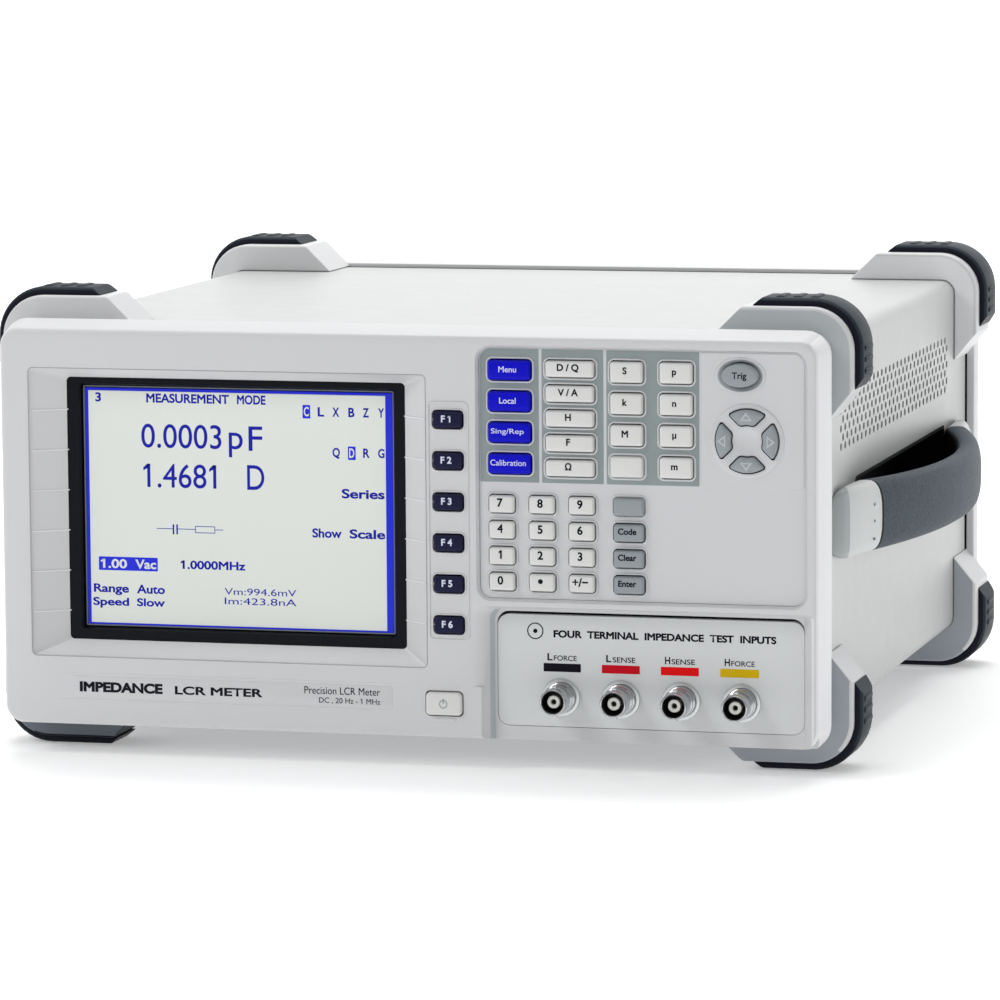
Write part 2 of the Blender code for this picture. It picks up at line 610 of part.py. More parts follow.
def handle_section(steps=10):
    """Closed D-shaped section: flat towards the instrument and crowned on the outside."""
    half = (HANDLE_Z[1] - HANDLE_Z[0]) / 2
    points = []
    for i in range(steps + 1):
        a = math.pi * (i / steps - 0.5)
        across = math.copysign(abs(math.sin(a)) ** 0.75, a) * half
        points.append((across, 9.5 * math.cos(a) ** 0.8 - 4.0))
    return points


def handle_path(count=17):
    """Points of the arch in plan, bowed away from the side of the instrument."""
    rise = HANDLE_PEAK_X - 5.5 - 147.0
    path = []
    for i in range(count):
        t = i / (count - 1)
        y = HANDLE_Y[0] + 6.0 + t * (HANDLE_Y[1] - HANDLE_Y[0] - 12.0)
        path.append((147.0 + rise * math.sin(math.pi * t) ** 0.72, y, sum(HANDLE_Z) / 2))
    return path


def open_curve(name, points, closed):
    data = bpy.data.curves.new(name, "CURVE")
    data.dimensions = "3D"
    spline = data.splines.new("POLY")
    spline.points.add(len(points) - 1)
    for point, co in zip(spline.points, points):
        point.co = (*(Vector(co) * MM), 1.0)
    spline.use_cyclic_u = closed
    return data


section = bpy.data.objects.new("handle_section", open_curve(
    "handle_section", [(out, up, 0.0) for up, out in handle_section()], True))
tools.objects.link(section)
arch_curve = open_curve("handle_arch", handle_path(), False)
arch_curve.bevel_mode = "OBJECT"
arch_curve.bevel_object = section
arch_curve.use_fill_caps = True
arch_curve.twist_mode = "Z_UP"
arch = bpy.data.objects.new("handle_arch", arch_curve)
tools.objects.link(arch)
bpy.context.view_layer.update()
handle_mesh = bpy.data.meshes.new_from_object(
    arch.evaluated_get(bpy.context.evaluated_depsgraph_get()))
bpy.data.objects.remove(arch, do_unlink=True)
bpy.data.objects.remove(section, do_unlink=True)
bm = bmesh.new()
bm.from_mesh(handle_mesh)
bmesh.ops.remove_doubles(bm, verts=bm.verts, dist=0.00002)
bmesh.ops.recalc_face_normals(bm, faces=bm.faces)
bm.to_mesh(handle_mesh)
bm.free()
handle_mesh.materials.clear()
handle = add_object("handle_grip", handle_mesh, (0, 0, 0), GRIP)
handle_trim = solid("handle_trim", None, [
    box((100.0, COVER_X + GAP), (0.0, 330.0), (40.0, 140.0))])
combine(handle, handle_trim, "DIFFERENCE")


# ---------------------------------------------------------------- circuit boards

boards = solid("main_board", BOARD, [box((-130.0, 124.0), (16.0, 285.0), (22.0, 23.6))])
riser = solid("board_riser", None, [
    box((5.0, 148.0), (8.9, 10.5), (64.0, 154.0)),
    ])
riser_low = solid("board_riser_low", None, [box((5.0, 28.6), (8.9, 10.5), (34.0, 70.0))])
riser_tail = solid("board_riser_tail", None, [box((23.6, 28.6), (8.9, 10.5), (22.4, 40.0))])
riser_tab = solid("board_riser_tab", None, [box((23.6, 28.6), (9.2, 20.0), (22.2, 23.4))])
supply = solid("board_supply", None, [
    box((-118.0, -58.0), (205.0, 262.0), (23.0, 78.0), radius=6.0, segments=2, axis=2),
    box((-20.0, 62.0), (60.0, 132.0), (23.0, 44.0), radius=2.0, segments=1, axis=2),
    box((-108.0, -40.0), (60.0, 120.0), (23.0, 34.0), radius=1.0, segments=1, axis=2),
    box((72.0, 118.0), (198.0, 204.0), (23.0, 86.0)),
    *(box((x, x + 2.4), (198.0, 246.0), (23.0, 84.0)) for x in (72.0, 80.0, 88.0, 96.0, 104.0, 112.0)),
    box((80.0, 112.0), (60.0, 76.0), (23.0, 38.0))])
caps = bmesh.new()
for cap_x, cap_y in ((-30.0, 215.0), (-2.0, 215.0), (26.0, 215.0), (-30.0, 245.0), (-2.0, 245.0)):
    lift = Matrix.Translation(Vector((cap_x, cap_y, 41.0)) * MM)
    bmesh.ops.create_cone(caps, cap_ends=True, segments=12, radius1=11.0 * MM, radius2=11.0 * MM,
                          depth=36.0 * MM, matrix=lift)
caps = add_object("board_caps", to_mesh(caps, "board_caps"), (0, 0, 0))
supply_mod = boards.modifiers.new("union_supply", "BOOLEAN")
supply_mod.operation = "UNION"
supply_mod.object = supply
supply_mod.solver = "EXACT"
supply_mod.use_self = True
for tool in (caps, riser_tab, riser_tail, riser_low, riser):
    combine(boards, tool, "UNION")
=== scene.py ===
"""Looks of the bench LCR meter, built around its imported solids.

Shapes are drawn in millimetres from the middle of the front face at table height:
x to the right, y to the rear, z up. Every piece then shares one origin."""
import math

import bmesh
import bpy
from mathutils import Matrix, Vector


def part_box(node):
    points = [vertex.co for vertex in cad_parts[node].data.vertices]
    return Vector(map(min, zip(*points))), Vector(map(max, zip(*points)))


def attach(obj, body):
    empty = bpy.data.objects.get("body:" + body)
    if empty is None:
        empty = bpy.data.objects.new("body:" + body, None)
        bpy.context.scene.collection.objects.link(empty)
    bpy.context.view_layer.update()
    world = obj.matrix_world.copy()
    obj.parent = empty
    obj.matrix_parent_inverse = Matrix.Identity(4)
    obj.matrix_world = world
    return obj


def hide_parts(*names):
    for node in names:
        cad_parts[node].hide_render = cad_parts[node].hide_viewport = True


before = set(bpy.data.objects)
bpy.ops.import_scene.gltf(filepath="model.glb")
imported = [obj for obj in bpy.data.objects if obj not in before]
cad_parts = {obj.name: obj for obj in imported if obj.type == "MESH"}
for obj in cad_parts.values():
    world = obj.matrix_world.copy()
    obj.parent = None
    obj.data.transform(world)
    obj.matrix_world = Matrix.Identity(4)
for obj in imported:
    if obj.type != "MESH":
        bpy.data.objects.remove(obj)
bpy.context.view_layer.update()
MM = 0.001
low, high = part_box("front_bezel")
ORIGIN = Vector(((low.x + high.x) / 2, low.y, 0))
CASE = "case"


def place(node):
    """A CAD node's lowest and highest corners, in millimetres from the shared origin."""
    a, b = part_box(node)
    return (a - ORIGIN) / MM, (b - ORIGIN) / MM


# ------------------------------------------------------------------ materials

def rgb(r, g, b):
    def one(c):
        c /= 255.0
        return c / 12.92 if c <= 0.04045 else ((c + 0.055) / 1.055) ** 2.4
    return one(r), one(g), one(b)


def finish(name, colour, rough, metallic=0, grain=2600, bump=0.16, depth=0.00006, tint=0.012, swirl=25,
           spread=0.06, stretch=(1, 1, 1), sheen=0, glow=0, specular=0.5):
    """A surface with a fine grain in its bump, drifting colour and uneven roughness. Colours
    are given as screen values from 0 to 255."""
    colour = rgb(*colour)
    mat = bpy.data.materials.new(name)
    mat.use_nodes = True
    nodes, links = mat.node_tree.nodes, mat.node_tree.links
    shader = nodes["Principled BSDF"]
    coord = nodes.new("ShaderNodeTexCoord")
    mapping = nodes.new("ShaderNodeMapping")
    mapping.inputs["Scale"].default_value = stretch
    links.new(coord.outputs["Object"], mapping.inputs["Vector"])

    def noise(scale, detail):
        node = nodes.new("ShaderNodeTexNoise")
        node.inputs["Scale"].default_value = scale
        node.inputs["Detail"].default_value = detail
        links.new(mapping.outputs["Vector"], node.inputs["Vector"])
        return node.outputs["Fac"]

    broad, fine = noise(swirl, 4), noise(grain, 3)
    mix = nodes.new("ShaderNodeMix")
    mix.data_type = "RGBA"
    mix.inputs[6].default_value = (*[c * (1.0 - tint) for c in colour], 1)
    mix.inputs[7].default_value = (*[min(c * (1.0 + tint), 1) for c in colour], 1)
    links.new(broad, mix.inputs[0])
    links.new(mix.outputs[2], shader.inputs["Base Color"])
    ramp = nodes.new("ShaderNodeMapRange")
    ramp.inputs["To Min"].default_value = max(rough - spread, 0.02)
    ramp.inputs["To Max"].default_value = min(rough + spread, 1)
    links.new(noise(grain * 0.11, 3), ramp.inputs["Value"])
    links.new(ramp.outputs["Result"], shader.inputs["Roughness"])
    if bump:
        relief = nodes.new("ShaderNodeBump")
        relief.inputs["Strength"].default_value = bump
        relief.inputs["Distance"].default_value = depth
        links.new(fine, relief.inputs["Height"])
        links.new(relief.outputs["Normal"], shader.inputs["Normal"])
    shader.inputs["Metallic"].default_value = metallic
    shader.inputs["Sheen Weight"].default_value = sheen
    shader.inputs["Sheen Roughness"].default_value = 0.22
    shader.inputs["Specular IOR Level"].default_value = specular
    if glow:
        shader.inputs["Emission Color"].default_value = (*colour, 1)
        shader.inputs["Emission Strength"].default_value = glow
    mat.diffuse_color = (*colour, 1)
    return mat


SHELL = finish("shell_plastic", (214, 214, 215), 0.42)
FLANK = finish("flank_plastic", (219, 221, 221), 0.45)
# Lighter copy of the shell plastic: painted light on the faces that catch the most light.
PAINTED_LIGHT = finish("bezel_painted_light", (236, 236, 237), 0.4)
# Pale grey for the arrow marks and the trigger dish; also painted shade on the terminal recess wall and
# on a guard face.
PALE_GREY_AND_SHADE = finish("pale_grey_and_painted_shade", (186, 192, 194), 0.42, grain=4000, bump=0.12, tint=0.02)
# Darker greys for guard faces: painted shade.
DEEP_PAINTED_SHADE = finish("guard_low_face", (100, 108, 116), 0.5, tint=0.015, specular=0.3)
SHADED = finish("guard_painted_shade", (168, 173, 180), 0.5, tint=0.015, specular=0.3)
COAT = finish("cover_paint", (188, 189, 188), 0.36, grain=900, bump=0.22, depth=0.00008, tint=0.015,
              specular=0.4)
PANEL = finish("panel_plastic", (212, 213, 215), 0.45, grain=3000, bump=0.12)
ZONE = finish("zone_plastic", (145, 155, 155), 0.5, grain=3200, bump=0.15, tint=0.03)
KEY = finish("key_plastic", (226, 226, 224), 0.38, grain=4000, bump=0.1, tint=0.015)
KEY_GREY = finish("key_grey", (152, 159, 163), 0.42, grain=4000, bump=0.12, tint=0.02)
KEY_BLUE = finish("key_blue", (3, 1, 200), 0.4, grain=4000, bump=0.1, tint=0.06, specular=0.16)
KEY_NAVY = finish("key_navy", (25, 26, 58), 0.4, grain=4000, bump=0.1, tint=0.06, specular=0.15)
# Bumper rubber; also painted over guard undersides and an end face as painted shade.
RUBBER_AND_SHADE = finish("bumper_rubber", (15, 17, 31), 0.6, grain=1400, bump=0.4, depth=0.0001, tint=0.12,
                specular=0.16, sheen=0.3)
CAP = finish("handle_cap", (203, 206, 205), 0.45)
# Lighter copy of the bumper rubber: painted light on its tops and sides.
LIT_RUBBER = finish("bumper_painted_light", (36, 46, 54), 0.6, grain=1400, bump=0.4, depth=0.0001, tint=0.3,
                     swirl=700, specular=0.16, sheen=0.12)
# Darker copy of the cap colour: painted shade on the cap's front-facing foot.
CAP_SHADE = finish("handle_cap_painted_shade", (164, 170, 171), 0.45)
GRIP = finish("grip_rubber", (72, 81, 89), 0.66, grain=1100, bump=0.9, depth=0.00022, tint=0.6,
              swirl=1000, specular=0.2, sheen=0.12)
# Near black: the hand pocket's liner, and painted shade on the grip's inner side.
NEAR_BLACK_AND_SHADE = finish("near_black_and_painted_shade", (9, 9, 15), 0.7, grain=1600, bump=0.3, tint=0.1, specular=0.08)
GLOSS = finish("screen_frame", (12, 15, 21), 0.4, grain=2400, bump=0.25, tint=0.2, specular=0.12)
# Light grey line round the screen glass: a painted reflection.
GLASS_GLINT = finish("screen_edge_glint", (120, 126, 134), 0.3, grain=2000, bump=0.05, tint=0.03)
LCD = finish("display_white", (205, 209, 204), 0.35, grain=2200, bump=0.04, tint=0.05, swirl=9,
             glow=0.28)
LCD_BLUE = finish("display_blue", (30, 42, 205), 0.35, grain=2200, bump=0.04, tint=0.1, swirl=30,
                  glow=0.22, specular=0.2)
LCD_TEXT = finish("display_text", (24, 30, 160), 0.4, grain=2200, bump=0.04, tint=0.06, glow=0.1,
                  specular=0.15)
PRINT = finish("print_dark", (17, 19, 33), 0.55, grain=3000, bump=0.05, tint=0.08, specular=0.12)
PRINT_WHITE = finish("print_white", (222, 226, 245), 0.5, grain=3000, bump=0.05, tint=0.03)
NICKEL = finish("nickel", (196, 198, 200), 0.2, 1, grain=2500, bump=0.06, tint=0.05, stretch=(1, 6, 1))
NICKEL_SATIN = finish("nickel_satin", (214, 216, 216), 0.32, 1, grain=2500, bump=0.1, tint=0.05,
                      stretch=(1, 5, 1))
INSULATOR = finish("insulator", (226, 226, 220), 0.4, grain=3000, bump=0.06, tint=0.03)
CONTACT = finish("contact_bore", (22, 20, 18), 0.4, 0.4, grain=3000, bump=0.06, tint=0.03)
ZINC = finish("zinc_sheet", (176, 180, 182), 0.38, 1, grain=420, bump=0.12, tint=0.14, swirl=60,
              stretch=(1, 9, 1))
REAR_PAINT = finish("rear_paint", (196, 199, 200), 0.45, grain=900, bump=0.2, tint=0.02)
# Black plastic parts; also dark strips and sheets behind gaps and slots as painted shade.
BLACK_AND_SHADE = finish("black_plastic_and_painted_shade", (17, 17, 21), 0.5, grain=2000, bump=0.2, tint=0.1, specular=0.15)
MASK = finish("solder_mask", (20, 92, 48), 0.4, grain=700, bump=0.25, tint=0.3, swirl=160)
BARS = [finish("bar_" + name, colour, 0.5, specular=0.1, grain=1500, bump=0.12, tint=0.03) for name,
        colour in (("black", (14, 12, 24)), ("red", (206, 8, 30)), ("scarlet", (236, 12, 16)),
                   ("yellow", (216, 180, 8)))]


# ------------------------------------------------------------------ shape tools

def four(r):
    return r if isinstance(r, (tuple, list)) else (r,) * 4


def rr(x, z, r, n=6):
    """A rounded rectangle's outline. One radius, or one per corner from the upper right on."""
    most = min((x[1] - x[0]) / 2, (z[1] - z[0]) / 2) - 0.01
    points = []
    for k, c in enumerate(max(min(c, most), 0.01) for c in four(r)):
        cx = x[0] + c if k in (1, 2) else x[1] - c
        cz = z[0] + c if k in (2, 3) else z[1] - c
        for i in range(n + 1):
            a = math.radians(90.0 * k + 90.0 * i / n)
            points.append((cx + c * math.cos(a), cz + c * math.sin(a)))
    return points


def stack(bm, loops, closed=False):
    """Skins a run of loops into one closed form, or into a ring where the run is closed.
    Like every shape tool below, it adds to bm, or starts a new form where bm is None."""
    bm = bmesh.new() if bm is None else bm
    rings = [[bm.verts.new(p) for p in loop] for loop in loops]
    pairs = list(zip(rings, rings[1:]))
    if closed:
        pairs.append((rings[-1], rings[0]))
    for a, b in pairs:
        for i in range(len(a)):
            bm.faces.new((a[i - 1], a[i], b[i], b[i - 1]))
    if not closed:
        bm.faces.new(rings[0])
        bm.faces.new(rings[-1])
    return bm


def aim(u, d, v, axis):
    """A point from its two outline values and its depth along an axis."""
    return {0: (d, u, v), 1: (u, d, v), 2: (u, v, d)}[axis]


def slab(bm, x, z, levels, r, n=6, axis=1, closed=False):
    """A rounded rectangle carried through levels of (depth, inset)."""
    loops = []
    for depth, inset in levels:
        outline = rr((x[0] + inset, x[1] - inset), (z[0] + inset, z[1] - inset),
                     [max(c - inset, 0.12) for c in four(r)], n)
        loops.append([aim(u, depth, v, axis) for u, v in outline])
    return stack(bm, loops, closed)


def rounded(near, far, r_near=0, r_far=0, n=4):
    """Levels from near to far with quarter rounds at either end."""
    turns = [math.pi / 2 * i / n for i in range(n + 1)]
    first = [(near + r_near * (1 - math.cos(a)), r_near * (1 - math.sin(a))) for a in turns]
    last = [(far - r_far * (1 - math.cos(a)), r_far * (1 - math.sin(a))) for a in turns[::-1]]
    return (first if r_near else [(near, 0)]) + (last if r_far else [(far, 0)])


def turned(bm, cx, cz, profile, n=32, stretch=1, closed=False, axis=1):
    """A turned form along an axis: profile holds (depth, radius)."""
    loops = []
    for depth, r in profile:
        loops.append([aim(cx + stretch * r * math.cos(2 * math.pi * i / n), depth,
                          cz + r * math.sin(2 * math.pi * i / n), axis) for i in range(n)])
    return stack(bm, loops, closed)


def prism(bm, outline, depth, axis=1):
    """An outline carried straight through the given depths."""
    return stack(bm, [[aim(u, d, v, axis) for u, v in outline] for d in depth])


def tidy(bm):
    bm.normal_update()
    bmesh.ops.recalc_face_normals(bm, faces=bm.faces)
    return bm


def as_mesh(name, bm, *materials):
    """Turns a form into a mesh and lets the form go."""
    mesh = bpy.data.meshes.new(name)
    bm.to_mesh(mesh)
    bm.free()
    for mat in materials:
        mesh.materials.append(mat)
    return mesh


def linked(name, data):
    obj = bpy.data.objects.new(name, data)
    bpy.context.scene.collection.objects.link(obj)
    return obj


def evaluated(obj):
    """The form an object takes with its modifiers or lettering worked out."""
    bpy.context.view_layer.update()
    graph = bpy.context.evaluated_depsgraph_get()
    mesh = bpy.data.meshes.new_from_object(obj.evaluated_get(graph))
    bm = bmesh.new()
    bm.from_mesh(mesh)
    bpy.data.meshes.remove(mesh)
    return bm


def boolean(a, b, operation="DIFFERENCE", overlap=False):
    """Joins or cuts two forms and gives back the result."""
    pair = [linked("scratch", as_mesh("scratch", tidy(bm))) for bm in (a, b)]
    mod = pair[0].modifiers.new("cut", "BOOLEAN")
    mod.operation = operation
    mod.object = pair[1]
    mod.solver = "EXACT"
    mod.use_self = overlap
    out = evaluated(pair[0])
    for obj in pair:
        data = obj.data
        bpy.data.objects.remove(obj, do_unlink=True)
        bpy.data.meshes.remove(data)
    return out


def piece(name, bm, mat, body=CASE, node=None, smooth=32, edge=0, steps=2, angle=38,
          face=()):
    """Makes a form into a shown piece that rides on a body."""
    tidy(bm)
    bmesh.ops.scale(bm, vec=(MM, MM, MM), verts=bm.verts)
    mesh = as_mesh(name, bm, mat)
    for k, (test, other) in enumerate(face):
        mesh.materials.append(other)
        for polygon in mesh.polygons:
            if test(polygon.center / MM, polygon.normal):
                polygon.material_index = k + 1
    mesh.shade_smooth()
    obj = linked(name, mesh)
    obj.location = ORIGIN
    if edge:
        mod = obj.modifiers.new("edges", "BEVEL")
        mod.width = edge * MM
        mod.segments = steps
        mod.limit_method = "ANGLE"
        mod.angle_limit = math.radians(angle)
        mod.use_clamp_overlap = True
        mod.harden_normals = True
    else:
        mesh.set_sharp_from_angle(angle=math.radians(smooth))
    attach(obj, body)
    if node:
        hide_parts(*([node] if isinstance(node, str) else node))
    return obj


# ------------------------------------------------------------------ lettering

def embolden(word, weight):
    """Moves every outline outwards by the same amount."""
    word.normal_update()
    moves = {}
    for v in word.verts:
        sides = [f.normal for f in v.link_faces if abs(f.normal.z) < 0.5]
        if sides:
            first = sides[0]
            last = min(sides, key=lambda n: n.dot(first))
            moves[v] = (first + last) * (weight / max(1.0 + first.dot(last), 0.45))
    for v, move in moves.items():
        v.co += move


def flag_ones(word):
    """Adds the short slanting stroke at the head of each plain upright figure 1."""
    left = set(word.verts)
    while left:
        island, todo = set(), [left.pop()]
        while todo:
            v = todo.pop()
            island.add(v)
            near = {e.other_vert(v) for e in v.link_edges} & left
            left -= near
            todo.extend(near)
        xs, ys = [v.co.x for v in island], [v.co.y for v in island]
        zs = [v.co.z for v in island]
        if max(ys) - min(ys) > 0.5 and max(xs) - min(xs) < 0.14:
            x0, x1, top = min(xs), max(xs), max(ys)
            outline = ((x1 - 0.02, top), (x0, top), (x0 - 0.13, top - 0.11), (x0 - 0.13, top - 0.19),
                       (x0 + 0.01, top - 0.12))
            stack(word, [[(px, py, d) for px, py in outline] for d in (min(zs), max(zs))])


CAPITAL = 0.729    # height of the built-in face's capitals at size 1


def letters(bm, text, x=None, z=None, cap=None, at=None, y=0, thick=0.06, weight=0, face=-1):
    """Adds raised lettering that faces the front (or the rear). It either fills the box given
    by x and z, or stands at a centre with capitals of height cap."""
    curve = bpy.data.curves.new("scratch", "FONT")
    curve.body = text
    curve.size = 1.0
    curve.extrude = 0.02
    curve.resolution_u = 6
    obj = linked("scratch", curve)
    word = evaluated(obj)
    bpy.data.objects.remove(obj, do_unlink=True)
    bpy.data.curves.remove(curve)
    bmesh.ops.remove_doubles(word, verts=word.verts, dist=0.0002)
    if "1" in text:
        flag_ones(word)
    tidy(word)
    if weight:
        embolden(word, weight)
    xs = [v.co.x for v in word.verts]
    ys = [v.co.y for v in word.verts]
    x0, x1, z0, z1 = min(xs), max(xs), min(ys), max(ys)
    if x:
        sx, sz = (x[1] - x[0]) / (x1 - x0), (z[1] - z[0]) / (z1 - z0)
        ox, oz = x[0] - x0 * sx, z[0] - z0 * sz
    else:
        sx = sz = cap / CAPITAL
        ox = at[0] - (x0 + x1) / 2 * sx
        oz = at[1] - (CAPITAL / 2) * sz
    for v in word.verts:
        px, pz, d = v.co.x * sx + ox, v.co.y * sz + oz, v.co.z
        if face > 0:
            px = 2 * (at[0] if at else (x[0] + x[1]) / 2) - px
        v.co = (px, y + face * (thick if d > 0 else -0.05), pz)
    mesh = as_mesh("scratch", word)
    bm.from_mesh(mesh)
    bpy.data.meshes.remove(mesh)


# ------------------------------------------------------------------ keys

PAD_Y = place("key_menu")[0].y
LEGENDS = {
    "key_menu": "Menu", "key_local": "Local", "key_sing_rep": "Sing/Rep",
    "key_calibration": "Calibration", "key_dq": "D / Q", "key_va": "V / A", "key_h": "H",
    "key_f": "F", "key_ohm": "Ω", "key_s": "S", "key_kilo": "k", "key_mega": "M",
    "key_pico": "p", "key_nano": "n", "key_micro": "μ", "key_milli": "m",
    "key_point": "•", "key_sign": "+/−", "key_code": "Code", "key_clear": "Clear",
    "key_enter": "Enter"}
LEGENDS.update({"key_%d" % d: str(d) for d in range(10)})
SOFT = ["key_f%d" % d for d in range(1, 7)]
LEGENDS.update({node: "F " + node[-1] for node in SOFT})
BLUES = ("key_menu", "key_local", "key_sing_rep", "key_calibration")
GREYS = ("key_code", "key_clear", "key_enter")
WIDE = {"key_calibration": (1, 1.5, 1), "key_sing_rep": (1.3, 2.2, 1.3)}
FLANGE = 0.9    # a key's skirt behind the panel stands out this far all round


def key_spot(node):
    a, b = place(node)
    return (a.x + FLANGE, b.x - FLANGE), (a.z + FLANGE, b.z - FLANGE), a.y, b.y


def cap_levels(front, back):
    """A key's front edge is rounded and its sides draw in slightly towards the front."""
    return [(front, 1), (front + 0.06, 0.72), (front + 0.22, 0.44), (front + 0.5, 0.24),
            (front + 0.95, 0.13), (front + 1.8, 0.06), (back, 0)]


def legend_cap(node, text):
    if node in BLUES or node in GREYS:
        return 2.2
    return 4.2 if text == "•" else 3.0 if text == "+/−" or text.isdigit() else 2.45


for node, text in LEGENDS.items():
    x, z, front, back = key_spot(node)
    mat, slot_name, ink = KEY, "pale_keys", PRINT
    if node in BLUES:
        mat, slot_name, ink = KEY_BLUE, "blue_keys", PRINT_WHITE
    elif node in GREYS:
        mat = KEY_GREY
    elif node in SOFT:
        mat, slot_name, ink = KEY_NAVY, "soft_keys", PRINT_WHITE
    cap = slab(None, x, z, cap_levels(front, back), 1, 5)
    piece(node + "_cap", cap, mat, node, node, smooth=40)
    word = bmesh.new()
    middle = (sum(x) / 2 - 0.35, sum(z) / 2 + (0.45 if mat in (KEY_BLUE, KEY_NAVY) else 0.75))
    if node in WIDE:
        left, right, low_by = WIDE[node]
        letters(word, text, x=(x[0] + left, x[1] - right), z=(middle[1] - low_by, middle[1] + 1.1),
                y=front, weight=0.004)
    else:
        letters(word, text, cap=legend_cap(node, text), at=middle, y=front,
                weight=0.008 if node in BLUES else 0.03)
    piece(node + "_legend", word, ink, node)

# Oval trigger key
a, b = place("key_trig")
TRIG = ((a.x + b.x) / 2, (a.z + b.z) / 2)
trig_w, trig_h = (b.x - a.x) / 2 - 0.8, (b.z - a.z) / 2 - 0.8
trig_levels = [(d, trig_h - i) for d, i in cap_levels(a.y, b.y)]
piece("key_trig_cap", turned(None, *TRIG, trig_levels, 48, trig_w / trig_h), KEY_GREY,
      "key_trig", "key_trig", smooth=40)
word = bmesh.new()
letters(word, "Trig", cap=2.3, at=(TRIG[0], TRIG[1] + 0.2), y=a.y, weight=0.02)
piece("key_trig_legend", word, PRINT, "key_trig")

# Arrow keys: crowned ring sectors with soft corners and straight gaps between them
a, b = place("key_arrow_right")
PAD = ((place("key_arrow_left")[0].x + b.x) / 2, (a.z + b.z) / 2)


def sector(r0, r1, gap, turn, soft=0.9, n=8):
    """A ring sector's outline: a rounded square bent about the middle of the pad."""
    def half(r):
        return math.pi / 4 - math.asin(min(gap / r, 0.7))

    mid, reach = (r0 + r1) / 2, (r1 - r0) / 2
    square = []
    for u_sign, v_sign, start in ((1, 1, 90), (1, -1, 0), (-1, -1, -90), (-1, 1, -180)):
        edge = mid + v_sign * reach
        cut_u, cut_v = min(soft / (half(edge) * edge), 0.5), min(soft / reach, 0.8)
        for i in range(5):
            a = math.radians(start - 22.5 * i)
            square.append((u_sign * (1 - cut_u) + cut_u * math.cos(a),
                           v_sign * (1 - cut_v) + cut_v * math.sin(a)))
    outline = []
    for (u0, v0), (u1, v1) in zip(square, square[1:] + square[:1]):
        steps = n if abs(v1 - v0) < 1e-6 and abs(u1 - u0) > 0.2 else 1
        for i in range(steps):
            r = mid + (v0 + (v1 - v0) * i / steps) * reach
            t = (u0 + (u1 - u0) * i / steps) * half(r) + turn
            outline.append((PAD[0] + r * math.cos(t), PAD[1] + r * math.sin(t)))
    return outline


CROWN = [(-0.24, 1.9), (-0.12, 1.25), (0.08, 0.75), (0.34, 0.35), (0.8, 0.12)]
ARROW = ((2.05, 0), (-1.05, 2.4), (-1.05, -2.4))
for name, turn in (("right", 0), ("up", 90), ("left", 180), ("down", 270)):
    node, t = "key_arrow_" + name, math.radians(turn)
    bm = stack(None, [[(u, y, v) for u, v in sector(5.7 + i, 11.3 - i, 1.95 + i, t)] for y,
                      i in [(PAD_Y + d, i) for d, i in CROWN] + [(b.y, 0)]])
    piece(node + "_cap", bm, KEY_GREY, node, node, smooth=40)
    bm = bmesh.new()
    loops = []
    for depth, size in ((0.4, 1), (-0.2, 1), (-0.34, 0.93), (-0.34, 0.49), (-0.2, 0.42), (0.4, 0.42)):
        loop = []
        for out, across in ARROW:
            out, across = 8.4 + out * size, across * size
            loop.append((PAD[0] + out * math.cos(t) - across * math.sin(t), PAD_Y + depth,
                         PAD[1] + out * math.sin(t) + across * math.cos(t)))
        loops.append(loop)
    stack(bm, loops, closed=True)
    piece(node + "_mark", bm, PALE_GREY_AND_SHADE, node)

# Power button with a small round symbol
x, z, front, back = key_spot("power_button")
piece("power_button_cap", slab(None, x, z, cap_levels(front, back), 1.6, 6), KEY,
      "power_button", "power_button", smooth=40)
POWER = (sum(x) / 2, sum(z) / 2)
bm = turned(None, POWER[0], POWER[1], [(front + 0.02, 1.55), (front - 0.07, 1.55), (front - 0.07, 1.2),
                                       (front + 0.02, 1.2)], 32, closed=True)
slab(bm, (POWER[0] - 0.2, POWER[0] + 0.2), (POWER[1] + 0.2, POWER[1] + 2),
     [(front - 0.09, 0), (front + 0.02, 0)], 0.1, 2)
piece("power_button_mark", bm, KEY_GREY, "power_button")


# ------------------------------------------------------------------ keypad panel

PX, PZ = (28.36, 147.04), (63.06, 152.84)
PANEL_Y = 2.0
SPOTS = [key_spot(n)[:2] for n in LEGENDS if n not in SOFT]
BLANKS = [(key_spot("key_kilo")[0], key_spot("key_milli")[1]), (key_spot("key_code")[0],
                                                                key_spot("key_7")[1])]


def grown(span, amount):
    """A span with both ends moved outwards."""
    return (span[0] - amount, span[1] + amount)


THROUGH = [(-4, 0), (12, 0)]    # levels of a cut right through the front
holes = bmesh.new()
for x, z in SPOTS:
    slab(holes, grown(x, 0.35), grown(z, 0.35), THROUGH, 1.2, 4)
turned(holes, *TRIG, [(-4, trig_h + 1.9), (12, trig_h + 1.9)], 48, (trig_w + 1.9) / (trig_h + 1.9))
turned(holes, *PAD, [(-4, 13.2), (12, 13.2)], 48)
base = slab(None, PX, PZ, rounded(PANEL_Y, 5.2, 0.25), 4.2, 6)
piece("keypad_panel_base", boolean(base, holes), PANEL, node="keypad_panel", smooth=30)

